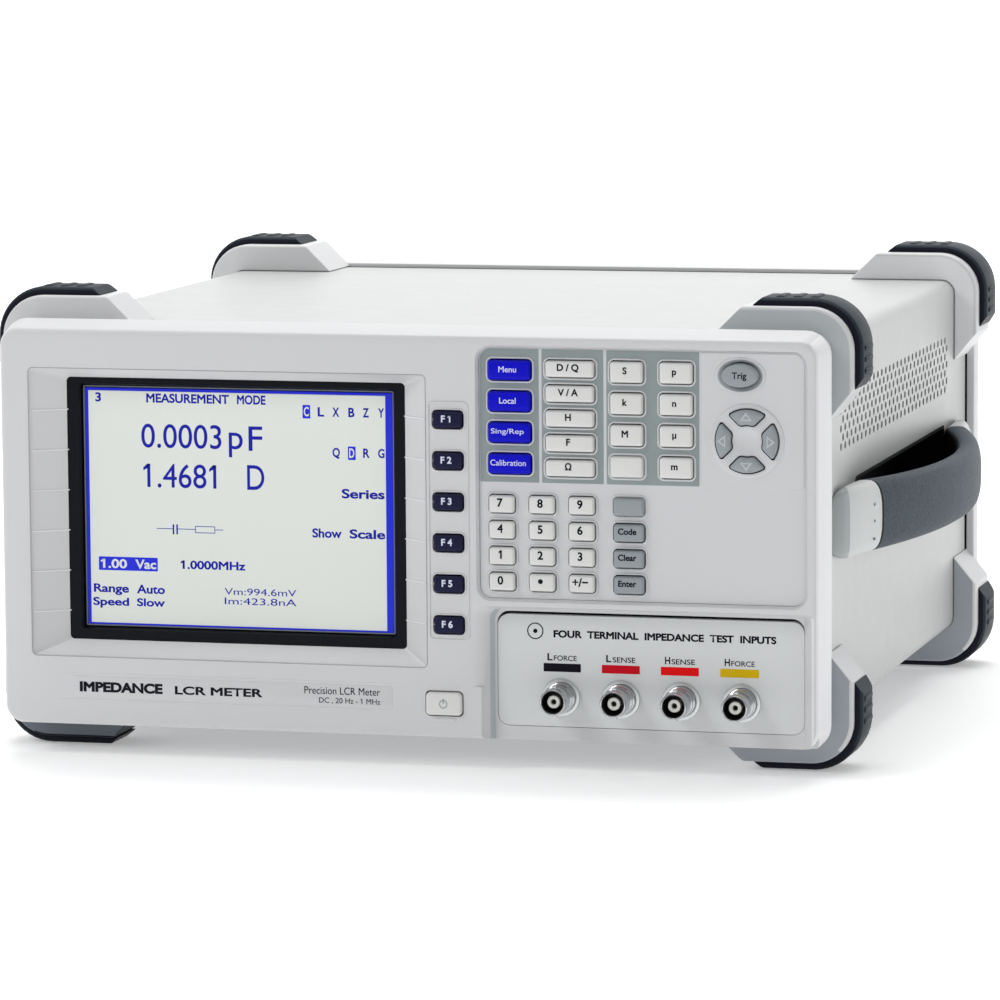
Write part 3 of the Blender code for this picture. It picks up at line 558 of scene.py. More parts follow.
ZONES = [(28.75, 50.3), (51.4, 73.9), (75, 108.6)]
for k, span in enumerate(ZONES):
    holes = bmesh.new()
    for x, z in SPOTS:
        slab(holes, grown(x, 0.7), grown(z, 0.7), THROUGH, 1.5, 4)
    inlay = slab(None, span, (104.8, 152.4), [(PANEL_Y - 0.14, 0.12), (PANEL_Y - 0.05, 0),
                                              (PANEL_Y + 0.5, 0)],
                 (0.3, 4.0 if k == 0 else 0.3, 0.3, 0.3), 5)
    piece("keypad_zone_%d" % (k + 1), boolean(inlay, holes), ZONE, smooth=30)
holes = turned(None, *TRIG, [(-4, 6.5), (12, 6.5)], 48, 1.42)
turned(holes, *PAD, [(-4, 13.3), (12, 13.3)], 48)
inlay = slab(None, (109.2, 146.4), (104.8, 152.3), [(PANEL_Y - 0.28, 0.2), (PANEL_Y - 0.1, 0),
                                                    (PANEL_Y + 0.5, 0)], (4, 0.3, 0.3, 0.3), 5)
piece("keypad_zone_4", boolean(inlay, holes), PANEL, smooth=30)

rims = bmesh.new()
RIM_SIDE = [(PANEL_Y - 0.42, -1.02), (PANEL_Y + 0.3, -1.16), (PANEL_Y + 1.4, -1.16)]
for x, z in SPOTS:
    slab(rims, x, z, [(PANEL_Y + 1.4, -0.4), (PANEL_Y - 0.45, -0.4), (PANEL_Y - 0.66, -0.52),
                      (PANEL_Y - 0.66, -0.78)] + RIM_SIDE, 1.3, 5, closed=True)
piece("keypad_rims", rims, PANEL, smooth=50)
for k, (x, z) in enumerate(BLANKS):
    bm = slab(None, x, z, cap_levels(PAD_Y, PANEL_Y + 1.5), 1, 5)
    piece("keypad_blank_%d" % (k + 1), bm, KEY if k == 0 else KEY_GREY, smooth=40)
    bm = slab(None, x, z, [(PANEL_Y + 1.4, 0.1), (PANEL_Y - 0.3, -0.3), (PANEL_Y - 0.62, -0.55),
                           (PANEL_Y - 0.62, -0.8)] + RIM_SIDE, 1.3, 5, closed=True)
    piece("keypad_blank_rim_%d" % (k + 1), bm, PANEL, smooth=50)

# Oval dish round the trigger key
bm = turned(None, *TRIG, [(4.6, 5.5), (1.9, 5.5), (1.55, 5.65), (1.35, 5.95), (1.4, 6.25), (2, 6.6),
                          (4.6, 6.6)], 56, 1.42, closed=True)
piece("trig_surround", bm, PANEL, smooth=50)
bm = turned(None, *TRIG, [(4.6, 4.5), (3.4, 4.5), (3, 4.7), (2.1, 5.4), (2, 5.55), (4.6, 5.55)], 56,
            1.42, closed=True)
piece("trig_dish", bm, PALE_GREY_AND_SHADE, smooth=50)

# Round pad with a dished middle round the arrow keys
bm = turned(None, *PAD, [(5, 13.4), (1.9, 13.4), (1.55, 13.25), (1.25, 12.9), (1.15, 12.4), (1.1, 9),
                         (1.1, 5), (1.25, 4.4), (1.6, 3.2), (1.85, 1.8), (1.92, 0.5)], 64)
holes = bmesh.new()
for turn in (0, 90, 180, 270):
    prism(holes, sector(5.3, 11.7, 1.55, math.radians(turn), 1.2), (-4, 12))


# The arrow key holes get black walls: painted shade in the gaps round the keys.
def key_gap(c, n):
    return abs(n.y) < 0.2 and math.hypot(c.x - PAD[0], c.z - PAD[1]) < 11.9


piece("arrow_pad", boolean(bm, holes), PANEL, smooth=40, face=((key_gap, BLACK_AND_SHADE),))


# ------------------------------------------------------------------ front bezel

def bezel_shell():
    """The frame's sides draw in towards the front and round over onto its face."""
    loops = []
    for depth, side, top, bottom in ((0, 4.3, 4.5, 3.5), (0.1, 3.6, 3.8, 2.9), (0.4, 2.95, 3.15, 2.3),
                                     (0.9, 2.5, 2.75, 1.9), (1.8, 2.15, 2.4, 1.6), (13, 0, 0, 0)):
        outline = rr((-153.8 + side, 153.8 - side), (10.5 + bottom, 159.6 - top), 9.0 - side, 8)
        loops.append([(u, depth, v) for u, v in outline])
    return stack(None, loops)


INSIDE = (-150.3, 150.3), (14.4, 156.5), [(3.5, 0), (60, 0)], 5.3
body = boolean(bezel_shell(), slab(None, *INSIDE, 5))
bosses = slab(None, (-143.5, 11.5), (34.5, 145.5), [(2.5, 0), (8, 0)], 1, 2)
slab(bosses, (24.5, 151.4), (12.6, 61.2), [(2.5, 0), (8.5, 0)], 1, 2)
sleeve = slab(None, (-151.4, 151.4), (13.2, 157.6), [(12, 0), (26, 0)], 6.4, 6)
sleeve = boolean(sleeve, slab(None, *INSIDE, 6))
body = boolean(boolean(body, sleeve, "UNION"), bosses, "UNION")


def opening(levels, r, n=6):
    """A four sided hole whose walls change with depth: (y, left, right, bottom, top)."""
    return stack(None, [[(u, y, v) for u, v in rr((x0, x1), (z0, z1), r, n)] for y, x0, x1, z0,
                        z1 in levels])


display_funnel = opening([(-2, -140.4, 8.9, 37.5, 142.5), (0.7, -140.4, 8.9, 37.5, 142.5),
                          (9, -126.9, -2, 43.3, 138.3)], 1.6, 4)
recess = opening([(-2, 24.6, 152.6, -5, 61), (0, 25.8, 150.9, -5, 60.4), (0.5, 27.6, 150, -5, 60.2),
                  (1.6, 29.8, 149, -5, 60), (3.4, 31.4, 147.6, -5, 59.7), (6, 32.6, 146, -5, 59.2)],
                 (2.5, 4.6, 0.01, 0.01), 8)
step = prism(None, [(20, -3), (27.6, -3), (32.2, 6.5), (20, 6.5)], (-9, 31), axis=2)
panel_hole = slab(None, (28.3, 147.1), (63, 152.9), [(-4, -2.2), (0, -0.9), (1.6, 0), (12, 0)], 4.5, 6)
for cutter in (display_funnel, boolean(recess, step), panel_hole):
    body = boolean(body, cutter)
small = bmesh.new()
for node in SOFT:
    x, z = key_spot(node)[:2]
    slab(small, grown(x, 0.35), grown(z, 0.35), THROUGH, 1.2, 4)
x, z = key_spot("power_button")[:2]
slab(small, grown(x, 0.4), grown(z, 0.4), THROUGH, 1.8, 5)
slab(small, (33.5, 145.7), (16.5, 58), [(3, 0), (12, 0)], 4.4, 6)
body = boolean(body, small)


def outer_side(c, n):
    return abs(n.x) > 0.5 and abs(c.x) > 149 and c.y < 14


def funnel_floor(c, n):
    return n.z > 0.5 and c.x < 12 and 34 < c.z < 45 and c.y < 9


def recess_wall(c, n):
    return n.x > 0.5 and 26 < c.x < 34 and c.z < 60 and c.y > (3.4 if c.z > 20 else 1.2)


# Painted light: the outer sides and the display floor take a lighter tone. Painted shade: the terminal
# recess wall takes a darker pale grey.
piece("bezel", body, SHELL, node="front_bezel", edge=0.45, steps=3, angle=28,
      face=((outer_side, PAINTED_LIGHT), (funnel_floor, PAINTED_LIGHT), (recess_wall, PALE_GREY_AND_SHADE)))

# Soft key surrounds: a low raised frame round each key and thin dividing lines
bm = bmesh.new()
for node in SOFT:
    x, z = key_spot(node)[:2]
    slab(bm, x, z, [(1, -0.4), (-0.25, -0.4), (-0.42, -0.55), (-0.42, -0.8), (-0.2, -1.05),
                    (0.6, -1.15), (1, -1.15)], 1.3, 5, closed=True)
slab(bm, (9.9, 25), (47.5, 133.4), [(0.5, 0), (-0.2, 0), (-0.36, 0.14), (-0.36, 0.4), (-0.2, 0.55),
                                    (0.5, 0.55)], 2, 6, closed=True)
piece("soft_key_surround", bm, SHELL, smooth=50)

# Raised lines on the flanks beside the display, one for each soft key row, in the lighter tone of
# painted light
bm = bmesh.new()
for node in SOFT:
    z = (place(node)[0].z + place(node)[1].z) / 2
    for x0, x1, y0, y1 in ((-139.9, -128, 1, 8.3), (8.4, -1, 1.05, 8.2)):
        side = 1 if x1 > x0 else -1
        stack(bm, [[(x0, y0 - 0.3, z + k), (x1, y1 - 0.3, z + k), (x1 - side * 0.5, y1 + 0.6, z + k),
                    (x0 - side * 0.5, y0 + 0.6, z + k)] for k in (-0.2, 0.2)])
    slab(bm, (10.4, 14.2), (z - 0.2, z + 0.2), [(-0.2, 0.05), (0.4, 0)], 0.1, 2)
piece("flank_lines", bm, PAINTED_LIGHT)

bm = slab(None, (-140.75, 9.25), (37.15, 142.85), [(0.4, 0), (-0.05, 0), (-0.05, 0.3), (0.4, 0.3)], 1.9,
          4, closed=True)
piece("funnel_line", bm, KEY_GREY, smooth=40)

# Label strip at the lower left: two fine lines and generic wording
bm = bmesh.new()
for z in (31, 21.4):
    slab(bm, (-131, 0.7), (z - 0.22, z + 0.22), [(-0.12, 0.06), (0.4, 0)], 0.2, 3)
piece("label_lines", bm, FLANK)
bm = slab(None, (-124.8, -4), (22.2, 30.2), [(-0.1, 0.12), (-0.06, 0), (0.4, 0)], 0.6, 4)
piece("label_plate", bm, PANEL)
bm = bmesh.new()
letters(bm, "IMPEDANCE", x=(-122.5, -90.8), z=(24.4, 28.2), y=-0.1, weight=0.05)
letters(bm, "LCR METER", x=(-86.1, -52.8), z=(24.5, 27.6), y=-0.1, weight=0.03)
piece("label_title", bm, PRINT)
bm = bmesh.new()
letters(bm, "Precision LCR Meter", x=(-37, -8.6), z=(26.5, 29.2), y=-0.1, weight=0)
letters(bm, "DC , 20 Hz - 1 MHz", x=(-31.5, -8.6), z=(23, 25.3), y=-0.1, weight=0)
piece("label_text", bm, PRINT)
bm = slab(None, (POWER[0] - 4.3, POWER[0] + 4.3), (17.6, 19.4), [(-0.35, 0.4), (-0.2, 0.1), (0.4, 0)],
          0.8, 4)
piece("power_marker", bm, PANEL, smooth=40)


# ------------------------------------------------------------------ display

bm = slab(None, (-131, 1.6), (40, 141.3), [(8.3, 0.3), (8.6, 0), (19, 0)], 1, 3)
cut = slab(None, (-123.7, -5.1), (46.9, 136), [(0, -1.4), (8.6, -0.5), (9.2, 0), (12.2, 0)], 0.8, 4)
piece("screen_surround", boolean(bm, cut), GLOSS, node="lcd_module", smooth=35)
# A light ring at the screen's edge: painted reflection on the glass.
bm = slab(None, (-123.2, -5.6), (47.3, 135.6), [(12.4, 0), (10.75, 0), (10.6, 0.15), (10.6, 0.4),
                                                (10.75, 0.5), (12.4, 0.5)], 0.5, 4, closed=True)
piece("screen_edge_glint", bm, GLASS_GLINT)
bm = slab(None, (-122.6, -6.2), (47.8, 134.7), [(11, 0.1), (11.1, 0), (12.6, 0)], 0.4, 3)
piece("screen_border", bm, LCD_BLUE)
SCREEN_Y = 10.9
bm = slab(None, (-121.3, -8.9), (48.5, 133.7), [(SCREEN_Y, 0.03), (SCREEN_Y + 0.05, 0), (12, 0)], 0.12,
          2)
piece("screen_panel", bm, LCD)

bm = bmesh.new()
LINES = [
    ((129.6, 133), (("3", -118.6, -116.4), ("MEASUREMENT", -99.1, -67.6), ("MODE", -64.6, -53.8))),
    ((125.8, 129.2), (("L", -34.2, -31.8), ("X", -28.7, -26.1), ("B", -22.7, -20.4),
                      ("Z", -17.3, -15), ("Y", -11.6, -9.3))),
    ((110.6, 114.6), (("Q", -28.8, -26),)), ((111.2, 114.6), (("R", -17.3, -14.8), ("G", -11.7, -9.3))),
    ((96.3, 99.8), (("Series", -25.5, -9.4),)),
    ((81.8, 85.2), (("Show", -36.7, -25.6), ("Scale", -22.7, -9.3))),
    ((69, 72.2), (("1.0000MHz", -86.8, -62.1),)), ((58.7, 62.8), (("Range", -120.3, -106.8),)),
    ((59.5, 62.8), (("Auto", -103.8, -93),)), ((53.9, 57.8), (("Speed", -120.6, -106.8),)),
    ((54.8, 57.8), (("Slow", -103.8, -93),)), ((60, 62.5), (("Vm:994.6mV", -70.2, -43),)),
    ((56.5, 59), (("Im:423.8nA", -70.2, -43),)), ((113.1, 121.9), (("0.0003", -101.2, -70.7),)),
    ((110.3, 119.3), (("p", -67.9, -62.6),)), ((112.8, 121.7), (("F", -60.4, -55.2),)),
    ((98.6, 107.4), (("1.4681", -100.6, -72.8),)), ((98.6, 107.6), (("D", -61.1, -54.6),))]
for z, words in LINES:
    for text, x0, x1 in words:
        big, thin = z[1] - z[0] > 8, ":" in text
        letters(bm, text, x=(x0, x1), z=z, y=SCREEN_Y, thick=0.03,
                weight=0.004 if big else 0.0 if thin else 0.03)
INK = [(SCREEN_Y - 0.03, 0), (SCREEN_Y + 0.04, 0)]
for x0, x1, z0, z1 in ((-95.8, -89.6, 83.5, 83.75), (-87.9, -81.1, 83.5, 83.75),
                       (-73.5, -70.4, 83.5, 83.75), (-89.7, -89.1, 81.6, 85.3),
                       (-88.3, -87.7, 81.6, 85.3), (-81.1, -73.5, 84.6, 84.85),
                       (-81.1, -73.5, 82.3, 82.55), (-81.1, -80.85, 82.3, 84.85),
                       (-73.75, -73.5, 82.3, 84.85)):
    slab(bm, (x0, x1), (z0, z1), INK, 0.02, 1)
piece("screen_text", bm, LCD_TEXT, smooth=20)
bm = slab(None, (-118.2, -95.6), (67.8, 72.8), INK, 0.05, 1)
slab(bm, (-39.9, -37), (125, 129.9), INK, 0.05, 1)
slab(bm, (-23, -20.1), (110.3, 115.2), INK, 0.05, 1)
piece("screen_marks", bm, LCD_BLUE)
bm = bmesh.new()
for text, x, z, weight in (("1.00", (-117.4, -107.4), (68.6, 72), 0.025),
                           ("Vac", (-104.2, -96.2), (68.6, 72), 0.025),
                           ("C", (-39.4, -37.5), (125.8, 129.2), 0.02),
                           ("D", (-22.5, -20.6), (111.1, 114.5), 0.02)):
    letters(bm, text, x=x, z=z, y=SCREEN_Y - 0.03, thick=0.03, weight=weight)
piece("screen_marks_text", bm, LCD, smooth=20)


# ------------------------------------------------------------------ terminals

bm = slab(None, (33.62, 145.58), (16.62, 56.9), rounded(6.05, 9, 0.25), 4.2, 6)
piece("terminal_plate", bm, FLANK, node="terminal_block", smooth=35)
# A black strip behind the plate's upper edge: painted shade in the gap.
bm = slab(None, (33.9, 145.3), (55, 60), rounded(8.9, 9.6, 0.1), 1, 3)
piece("terminal_gap", bm, BLACK_AND_SHADE)
BNC_X, BNC_Z = (56.9, 78.9, 100.9, 122.9), 27.3


def socket_part(name, bm, mat, smooth=35):
    piece(tag + name, bm, mat, smooth=smooth)


for k, cx in enumerate(BNC_X):
    tag = "terminal_%d_" % (k + 1)
    bm = turned(None, cx, BNC_Z, [(6.3, 7), (5.3, 7), (5.05, 6.85), (4.95, 6.5), (4.95, 5.7),
                                  (6.3, 5.7)], 48, closed=True)
    socket_part("flange", bm, NICKEL_SATIN)
    profile = [(8, 5.6), (4.2, 5.6), (4, 5.45)]
    for i in range(5):
        base = 3.7 - i * 0.62
        profile += [(base, 5.45), (base - 0.14, 5.2), (base - 0.3, 5.2), (base - 0.44, 5.45)]
    profile += [(0.3, 5.3), (0.1, 4.85), (-3, 4.85), (-6.3, 4.85), (-6.75, 4.75), (-7.05, 4.5),
                (-7.1, 4.3), (-6.9, 4.1), (-6.4, 4.02), (2.2, 4.02), (2.4, 3.8), (2.4, 1.2)]
    socket_part("barrel", turned(None, cx, BNC_Z, profile, 48), NICKEL, 32)
    bm = bmesh.new()
    for side in (-1, 1):
        turned(bm, cx, -4, [(BNC_Z + side * 4.2, 0.95), (BNC_Z + side * 5.35, 0.95),
                            (BNC_Z + side * 5.55, 0.75)], 20, axis=2)
    socket_part("lugs", bm, NICKEL)
    bm = turned(None, cx, BNC_Z, [(2.3, 3.98), (-6, 3.98), (-6, 3.85), (2.2, 3.8)], 40, closed=True)
    turned(bm, cx, BNC_Z, [(2.35, 3.9), (2, 3.9), (2, 2.2), (2.35, 2.2)], 40, closed=True)
    socket_part("bore", bm, CONTACT)
    bm = turned(None, cx, BNC_Z, [(2.5, 2.35), (-4.9, 2.35), (-5.15, 2.15), (-5.15, 1.15), (-4.9, 1),
                                  (2.5, 1)], 32, closed=True)
    socket_part("insulator", bm, INSULATOR)
    bm = turned(None, cx, BNC_Z, [(2.4, 0.98), (-4.2, 0.98), (-4.4, 0.85), (-4.4, 0.5), (-2, 0.45)], 20)
    socket_part("contact", bm, CONTACT)
    bar = [(50.5, 64.2), (71.9, 85.8), (93.5, 107.3), (115.1, 129.1)][k]
    bm = slab(None, bar, (36.5, 39.5), [(5.93, 0.05), (6, 0), (6.4, 0)], 0.15, 2)
    piece(tag + "bar", bm, BARS[k])

bm = bmesh.new()
for first, rest, x0, x1 in (("L", "FORCE", 51.9, 62.7), ("L", "SENSE", 73.5, 84.2),
                            ("H", "SENSE", 95, 105.9), ("H", "FORCE", 116.7, 127.6)):
    letters(bm, first, x=(x0, x0 + 1.9), z=(40.5, 43.1), y=6.05, weight=0.025)
    letters(bm, rest, x=(x0 + 2.4, x1), z=(40.5, 42.4), y=6.05, weight=0.01)
letters(bm, "FOUR  TERMINAL  IMPEDANCE  TEST  INPUTS", x=(54.2, 135.4), z=(48.8, 51.5), y=6.05,
        weight=0.04)
turned(bm, 47.5, 51, [(6.2, 3), (5.98, 3), (5.98, 2.6), (6.2, 2.6)], 36, closed=True)
turned(bm, 47.5, 51, [(6.2, 0.8), (5.98, 0.8), (5.97, 0.7)], 20)
piece("terminal_lettering", bm, PRINT, smooth=25)


# ------------------------------------------------------------------ guards and bumpers

MID = 85.0


def wedge(side, near, far, y):
    """A bar that cuts the run between two corners, wider at its far end."""
    ends = ((near[0], near[1]), (far[0], far[1]), (far[0], -far[1]), (near[0], -near[1]))
    return stack(None, [[(half, depth, MID + out) if side == "top" else (out, depth, MID + half)
                         for out, half in ends] for depth in y])


def corner(y, half_x, half_z, r, round_near, round_far, inner, top, side):
    """The top right quarter of a rounded ring, its ends cut on a slant."""
    ring = slab(None, (-half_x, half_x), (MID - half_z, MID + half_z),
                rounded(y[0], y[1], round_near, round_far, 5), r, 12)
    ring = boolean(ring, slab(None, *inner[:2], [(y[0] - 20, 0), (y[1] + 20, 0)], inner[2], 8))
    keep = slab(None, (60, 230), (MID + 15, MID + 130), [(y[0] - 9, 0), (y[1] + 9, 0)], 0.1, 1)
    ring = boolean(ring, keep, "INTERSECT")
    ring = boolean(ring, wedge("top", *top, (y[0] - 9, y[1] + 9)))
    return boolean(ring, wedge("right", *side, (y[0] - 9, y[1] + 9)))


def mirrored(bm, flip_x, flip_z):
    """A copy for another corner. Nothing of it goes below the table."""
    out = bm.copy()
    for v in out.verts:
        v.co.x = -v.co.x if flip_x else v.co.x
        v.co.z = max(2 * MID - v.co.z, 0) if flip_z else v.co.z
    return out


# Painted light and shade on a guard's front face, by end and corner: lighter and darker tones stand in
# for how much light each corner gets
FACES = {"front_top": PALE_GREY_AND_SHADE, "front_top_left": SHELL, "front_bot": SHADED, "front_bottom_left": DEEP_PAINTED_SHADE,
         "rear_top": PAINTED_LIGHT, "rear_top_left": SHELL, "rear_bot": SHADED}
CORNERS = [("top_right", 0, 0), ("top_left", 1, 0), ("bottom_right", 0, 1), ("bottom_left", 1, 1)]
for end, gy, by, k in (("front", (25, 49.5), (28, 49), 0), ("rear", (277, 307.5), (283.3, 306.5), 2.2)):
    near, far = (1.3, 1.2) if end == "front" else (1.2, 1.8)
    tops, sides = ((60, 96.5), (84, 121)), ((140, 29.1 - k), (163, 57.2 - k))
    upper, lower = [corner(gy, 159.1, 81.8, 15.5, near, far, ((-150.15, 150.15), (15, top), 5.2),
                           tops, sides) for top in (156.35, 153.5)]
    rubbers = [corner(by, 162, 84.7, 18, 2.4, 2.4, ((-159.15, 159.15), (3.15, 166.85), 15.6),
                      ((75, 113.8 - k), (95, 137.6 - k)), ((150, 38.5), (175, 76))) for k in (0, 4.4)]
    ribs = bmesh.new()
    middle = (by[0] + by[1]) / 2
    for k in range(3):
        slab(ribs, (129.6 + k * 6.2, 133.0 + k * 6.2), (middle - 7, middle + 7),
             [(169, 0), (169.8, 0.1), (170, 0.3), (170.15, 0.8)], 1.6, 4, axis=2)
        slab(ribs, (middle - 7, middle + 7), (MID + 57.6 + k * 4.1, MID + 59.9 + k * 4.1),
             [(161.2, 0), (162.1, 0.1), (162.4, 0.3), (162.55, 0.7)], 1.2, 4, axis=0)

    # The lower left guards' undersides, and the front one's end face, are painted black: painted shade.
    def front_face(c, n):
        return c.y < gy[0] + 0.01 or c.z < 8 and n.z < -0.05 and c.y < gy[0] + 2

    def hidden_face(c, n):
        under = c.z < 5 and n.z < -0.4
        return c.x < 0 and (under or end == "front" and c.z < 14 and n.x > 0.3)

    for name, flip_x, flip_z in CORNERS:
        guard = mirrored(lower if flip_z else upper, flip_x, flip_z)
        painted_tone = FACES.get(end + "_" + name, FACES[end + "_" + name[:3]])
        piece("guard_%s_%s" % (end, name), guard, SHELL, edge=0.6, steps=3, angle=34,
              face=((front_face, painted_tone), (hidden_face, RUBBER_AND_SHADE)))
        rubber = mirrored(rubbers[flip_x and flip_z], flip_x, flip_z)
        # Bumper tops and sides take the lighter rubber, and so do the ribs: painted light.
        piece("bumper_%s_%s_body" % (end, name), rubber, RUBBER_AND_SHADE,
              node="bumper_%s_%s" % (end, name), edge=0.7, steps=3, angle=34,
              face=((lambda c, n: abs(n.y) < 0.8 and n.z > -0.35, LIT_RUBBER),))
        piece("bumper_%s_%s_ribs" % (end, name), mirrored(ribs, flip_x, flip_z), LIT_RUBBER,
              smooth=40)
    for spare in (upper, lower, ribs, *rubbers):
        spare.free()


# ------------------------------------------------------------------ cover

def cover_outline(grow):
    """Inverted channel with turned-in lower flanges, in the x-z plane."""
    x, top, base, r = 150.0 - grow, 156.2 - grow, 16.5 + grow, 5.0 - grow
    points = []
    for cx, cz, turn in ((x - r, base + r, 270), (x - r, top - r, 0), (-x + r, top - r, 90),
                         (-x + r, base + r, 180)):
        for i in range(7):
            t = math.radians(turn + 90.0 * i / 6)
            points.append((cx + r * math.cos(t), cz + r * math.sin(t)))
    return points


outline = [(138, 16.5)] + cover_outline(0) + [(-138, 16.5), (-138, 17.7)]
outline += cover_outline(1.2)[::-1] + [(138, 17.7)]
cover = prism(None, outline, (11, 303))
slots = bmesh.new()
for side in (-1, 1):
    for row in range(7):
        z = 114.6 + 3.25 * row
        for column in range(28):
            y = 49.0 + 7.72 * column + (3.86 if row % 2 else 0)
            if y < 262.0:
                slab(slots, (y - 1.75, y + 1.75), (z - 1.45, z + 1.45),
                     [(side * 146, 0), (side * 153, 0)], 1.4, 2, axis=0)
HAND_CORNERS = (2.5, 6.5, 6.5, 2.5)
hand = slab(None, (72, 256.5), (75.5, 101), [(140, 0), (160, 0)], HAND_CORNERS, axis=0)
piece("cover", boolean(boolean(cover, slots), hand), COAT, node="case_cover", smooth=30)

# Black sheets behind the vent slots: painted shade inside the case.
bm = bmesh.new()
for side in (-1, 1):
    slab(bm, (44, 268), (111, 138.5), [(side * 147.2, 0), (side * 147.8, 0)], 1, 2, axis=0)
piece("vent_backing", bm, BLACK_AND_SHADE)
# A black strip in the gap between cover and rear frame: painted shade.
bm = slab(None, (-150.4, 150.4), (16.2, 156.2), [(305.2, 0), (305.75, 0), (305.75, 3), (305.2, 3)], 5.2,
          5, closed=True)
piece("rear_gap_strip", bm, BLACK_AND_SHADE)

# Near-black liner in the hand pocket.
liner = slab(None, (72.04, 256.46), (75.54, 100.96),
             [(150.08, 0.1), (149.98, 0), (131.6, 0), (130.6, 1)], HAND_CORNERS, axis=0)
space = slab(None, (73.3, 255.2), (76.8, 99.7), [(155, 0), (134, 0), (132.6, 0.6), (132.2, 2)],
             (2.3, 5.2, 5.2, 2.3), axis=0)
piece("hand_pocket", boolean(liner, space), NEAR_BLACK_AND_SHADE, smooth=40)


# ------------------------------------------------------------------ handle

OUTER = [(150.2, 32), (151.6, 32.6), (153.6, 34.4), (155.6, 37.6), (157.2, 42), (158.6, 48),
         (160.2, 57), (161.8, 66)]
INNER = [(150.2, 35), (150.2, 39), (150.2, 44), (150.2, 49), (150.2, 54), (150.2, 59), (150.3, 63.5),
         (150.6, 67.5)]
TALL = [10.4, 11.7, 12.4, 12.7, 12.9, 12.9, 12.9, 12.9]
HANDLE_Z = 88.0
HANDLE_SPAN = 320.0    # the front and rear ends mirror about half of this


def handle_ring(outer, inner, half, n=28):
    ring = []
    for i in range(n):
        t = 2 * math.pi * i / n
        across = math.copysign(abs(math.cos(t)) ** 0.8, math.cos(t))
        up = math.copysign(abs(math.sin(t)) ** 0.66, math.sin(t))
        if across < 0:
            across = -abs(across) ** 0.55
        k = (across + 1) / 2
        ring.append((inner[0] + (outer[0] - inner[0]) * k, inner[1] + (outer[1] - inner[1]) * k,
                     HANDLE_Z + up * half))
    return ring


def flip(ring):
    return [(x, HANDLE_SPAN - y, z) for x, y, z in ring]


cap_rings = [handle_ring(o, i, h) for o, i, h in zip(OUTER, INNER, TALL)]
# Each end's foot takes the darker copy of the cap colour: painted shade where it faces the front.
for name, rings in (("front", cap_rings), ("rear", [flip(r) for r in cap_rings])):
    for part, span, mat in (("foot", rings[:4], CAP_SHADE), ("cap", rings[3:], CAP)):
        piece("handle_%s_%s" % (part, name), stack(None, span), mat, smooth=60,
              node="handle_grip" if name == "front" else None)
grip, pad = [], []
STATIONS = 28
for i in range(STATIONS + 1):
    u = i / STATIONS
    bow = 1.0 - abs(2 * u - 1) ** 2.1
    outer = (162.3 + 14.6 * bow, 66.9 + (HANDLE_SPAN - 2 * 66.9) * u)
    inner = (150.9 + 17.0 * bow, 68.4 + (HANDLE_SPAN - 2 * 68.4) * u)
    grip.append(handle_ring(outer, inner, 12.9 - 0.9 * bow))
    liner = (inner[0] + 3, inner[1])
    pad.append(handle_ring(liner, (inner[0] - 0.2, inner[1]), 11.6 - 0.9 * bow))
piece("handle_grip_body", stack(None, grip), GRIP, smooth=60)
# A near-black pad on the grip's inner side: painted shade.
foot = handle_ring((153, 61), (150.1, 61), 11.4)
piece("handle_grip_pad", stack(None, [foot] + pad + [flip(foot)]), NEAR_BLACK_AND_SHADE, smooth=60)
seam = [handle_ring((161.6 + k, 66.2 + 2 * k), (150.4 + k, 67.0 + 2 * k), 12.4) for k in (0, 0.5)]
for name, rings in (("front", seam), ("rear", [flip(r) for r in seam])):
    piece("handle_seam_" + name, stack(None, rings), BLACK_AND_SHADE, smooth=60)
bm = bmesh.new()
for z in (80.5, 87, 93):
    for y in (58.5, 261.5):
        turned(bm, y, z, [(158, 0.55), (160.75, 0.55), (160.9, 0.35)], 16, axis=0)
piece("handle_dots", bm, KEY_GREY, smooth=40)


# ------------------------------------------------------------------ chassis and rear

pan = slab(None, (-144.5, 144.5), (11, 303.7), [(14.7, 0.2), (14.9, 0), (16.2, 0)], 2, 3, axis=2)
louvres = bmesh.new()
for x0 in (-96, 36):
    for row in range(9):
        y = 96.0 + 15.0 * row
        slab(louvres, (x0, x0 + 60), (y - 1.6, y + 1.6), [(10, 0), (20, 0)], 1.5, 4, axis=2)
piece("chassis_pan", boolean(pan, louvres), ZINC, node="chassis", smooth=30)

rear = slab(None, (-148.4, 148.4), (18.1, 154.6), [(302.2, 0), (303.7, 0)], 4, 4)
cuts = bmesh.new()
for column in range(13):
    for row in range(5):
        slab(cuts, (60.0 + column * 5.6, 62.8 + column * 5.6), (62.0 + row * 7, 66.6 + row * 7),
             [(300, 0), (306, 0)], 1.3, 3)
slab(cuts, (-124.5, -99.5), (34.5, 52), [(300, 0), (306, 0)], 1.5, 3)
piece("rear_panel", boolean(rear, cuts), REAR_PAINT, smooth=30)

frame_body = slab(None, (-153.3, 153.3), (12.8, 157.8), rounded(305.7, 318, 0.5, 2.8), 7.4, 8)
window = slab(None, (-141, 141), (24, 149), [(290, 0), (340, 0)], 6, 6)
piece("rear_frame_body", boolean(frame_body, window), SHELL, node="rear_frame", edge=0.6,
      steps=3, angle=30)


def fitting(name, bm, mat):
    """A part of the rear panel or pan, which rides with the sheet metal."""
    piece(name, bm, mat, smooth=35)


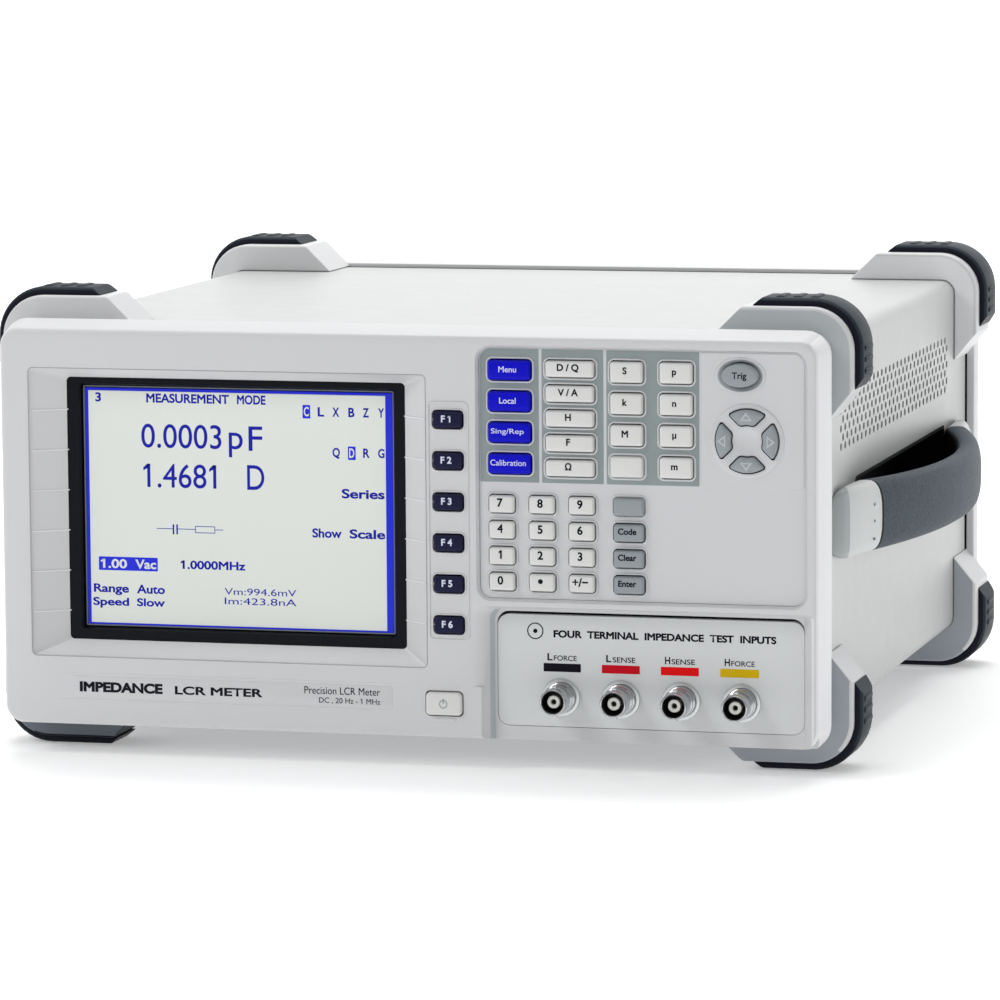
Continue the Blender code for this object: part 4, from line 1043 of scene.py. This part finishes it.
inlet = slab(None, (-128, -76), (29, 58), rounded(303.7, 306.4, 0, 0.6), 2.5, 4)
well = slab(None, (-124, -100), (35, 51.5), [(304.6, 0), (320, 0)], 2.2, 4)
fitting("inlet_plate", boolean(inlet, well), BLACK_AND_SHADE)
bm = slab(None, (-126, -98), (32.5, 54.5), [(287.5, 0.4), (288, 0), (303.6, 0)], 1.5, 3)
well = slab(None, (-124, -100), (35, 51.5), [(289.2, 0), (320, 0)], 2.2, 4)
fitting("inlet_well", boolean(bm, well), BLACK_AND_SHADE)
bm = bmesh.new()
for x, z in ((-119, 41.5), (-112, 45.5), (-105, 41.5)):
    slab(bm, (x - 1, x + 1), (z - 2, z + 2), rounded(289, 298, 0, 0.6, 2), 0.3, 2)
fitting("inlet_pins", bm, NICKEL)
bm = slab(None, (-94, -80), (33, 54), rounded(306, 307.4, 0, 0.4, 2), 1, 3)
slab(bm, (-90.5, -83.5), (50.2, 51.6), rounded(307, 307.9, 0, 0.2, 2), 0.4, 2)
fitting("fuse_drawer", bm, BLACK_AND_SHADE)
bm = bmesh.new()
for x, z in (((-44, 16), (104, 118)), ((48, 112), (104, 118)), ((48, 80), (38, 50.5))):
    slab(bm, x, z, rounded(303.6, 306, 0, 0.4, 2), 2, 4)
fitting("socket_plates", bm, NICKEL_SATIN)
bm = bmesh.new()
for x, z in (((-36, 8), (106.5, 115.5)), ((56, 104), (106.5, 115.5)), ((53.5, 74.5), (40, 48.5))):
    slab(bm, x, z, [(305.8, 0), (309, 0), (309.4, 0.4), (309.4, 1.2), (307, 1.4), (306.6, 1.4),
                    (305.8, 1.4)], 3, 5, closed=True)
fitting("socket_shells", bm, NICKEL)
bm = bmesh.new()
for x, z in (((-34, 6), (108.3, 113.7)), ((58, 102), (108.3, 113.7)), ((55.2, 72.8), (41.7, 46.8))):
    slab(bm, x, z, rounded(305.8, 308.4, 0, 0.3, 2), 1.5, 3)
fitting("socket_cores", bm, BLACK_AND_SHADE)
bm = turned(None, 0, 44, [(303.6, 7.6), (305, 7.6), (305.3, 7.3), (305.3, 5.4), (308, 5.4),
                          (308.3, 4.85), (315, 4.85), (315.4, 4.5), (315.4, 4.1), (309, 4.05),
                          (309, 2.4), (314, 2.4), (314, 1)], 40)
fitting("trigger_socket", bm, NICKEL)
bm = turned(None, -52, 40, [(303.6, 4.6), (305.4, 4.6), (305.6, 4.3), (305.6, 2.2), (307.4, 2.2),
                            (307.4, 3.9), (307.9, 4.1), (312.4, 4.1), (313.2, 3.7), (313.6, 2.8)], 24)
fitting("earth_post", bm, NICKEL)

bm = bmesh.new()
for text, x, z in (("AC IN", -102, 62), ("INTERFACE", -14, 122), ("HANDLER", 80, 122),
                   ("SERIAL", 64, 54.5), ("TRIGGER", 0, 55.5), ("GND", -52, 49)):
    letters(bm, text, cap=2.6, at=(x, z), y=303.7, face=1, weight=0.008)
piece("rear_lettering", bm, PRINT, smooth=25)


def screw(bm, x, z, y, r, axis=1, sign=1):
    """A domed screw head."""
    turned(bm, x, z, [(y, r), (y + sign * 0.8, r), (y + sign * 1.25, r * 0.82),
                      (y + sign * 1.4, r * 0.5)], 24, axis=axis)


def cross_cuts(spots, depth, reach, axis=1):
    """The driver's cross for screw heads at each spot."""
    bm = bmesh.new()
    levels = [(d, 0) for d in depth]
    for x, z in spots:
        slab(bm, (x - reach, x + reach), (z - 0.3, z + 0.3), levels, 0.1, 1, axis)
        slab(bm, (x - 0.3, x + 0.3), (z - reach, z + reach), levels, 0.1, 1, axis)
    return bm


REAR_SCREWS = [(x, z) for x in (-134, 0, 134) for z in (30, 143)]
bm = bmesh.new()
for x, z in REAR_SCREWS:
    screw(bm, x, z, 303.6, 2.6)
for x in (-41, 13, 51, 109):
    screw(bm, x, 111, 305.9, 1.7)
for x in (-126.2, -77.8):
    screw(bm, x, 43, 306.2, 1.3)
fitting("rear_screws", boolean(bm, cross_cuts(REAR_SCREWS, (304.4, 308), 1.5), overlap=True), NICKEL)
PAN_SCREWS = [(x, y) for x in (-130, 130) for y in (60, 160, 260)]
bm = bmesh.new()
for x, y in PAN_SCREWS:
    screw(bm, x, y, 14.8, 2.8, axis=2, sign=-1)
fitting("pan_screws", boolean(bm, cross_cuts(PAN_SCREWS, (10, 14), 1.6, axis=2), overlap=True), NICKEL)

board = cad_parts["main_board"]
board.data.materials.clear()
board.data.materials.append(MASK)


# ------------------------------------------------------------------ stage, light and camera

sweep = bmesh.new()
profile = [(-9, 0), (2.2, 0)]
profile += [(2.2 + 1.5 * math.sin(t * math.pi / 16), 1.5 - 1.5 * math.cos(t * math.pi / 16))
            for t in range(1, 9)]
profile.append((3.7, 7))
rows = [[sweep.verts.new((x, y, z)) for x in (-9, 9)] for y, z in profile]
for a, b in zip(rows, rows[1:]):
    sweep.faces.new((a[0], a[1], b[1], b[0]))
PAPER = finish("paper_sweep", (243, 243, 243), 0.9, grain=40, bump=0, tint=0.003, swirl=1, glow=0.34,
               specular=0.1)
obj = linked("paper_sweep", as_mesh("paper_sweep", sweep, PAPER))

world = bpy.data.worlds.new("studio")
world.use_nodes = True
world.node_tree.nodes["Background"].inputs["Color"].default_value = (0.97, 0.985, 1, 1)
world.node_tree.nodes["Background"].inputs["Strength"].default_value = 0.3
bpy.context.scene.world = world


def lamp(name, place_at, aim_at, size, power):
    data = bpy.data.lights.new(name, "AREA")
    data.shape = "SQUARE"
    data.size = size
    data.energy = power
    obj = linked(name, data)
    obj.location = place_at
    obj.rotation_euler = (Vector(aim_at) - Vector(place_at)).to_track_quat("-Z", "Y").to_euler()


lamp("key_light", (-1.2, -1.4, 1.5), (0, 0, 0.08), 0.8, 13)
lamp("side_fill", (1.9, -0.7, 0.8), (0, 0, 0.08), 1, 1.5)
lamp("top_light", (-0.1, 0.3, 2), (0, 0, 0.1), 1.3, 13)
lamp("backdrop_light", (0, 1.4, 3.2), (0, 3.6, 0.8), 3, 90)

camera = linked("camera", bpy.data.cameras.new("camera"))
RIGHT = Vector((0.96602154, 0.25836186, -0.00717897))
UP = Vector((-0.02449582, 0.11917056, 0.99257158))
BACK = Vector((0.25729816, -0.95866966, 0.12145011))
turn = Matrix((RIGHT, UP, BACK)).transposed().to_4x4()
camera.matrix_world = Matrix.Translation(ORIGIN + Vector((537.943, -1894.114, 334.374)) * MM) @ turn
camera.data.sensor_width = 36.0
camera.data.lens = 199.797
camera.data.shift_x = 0.018407
camera.data.shift_y = 0.010955
bpy.context.scene.camera = camera
bpy.context.scene.view_settings.view_transform = "Standard"
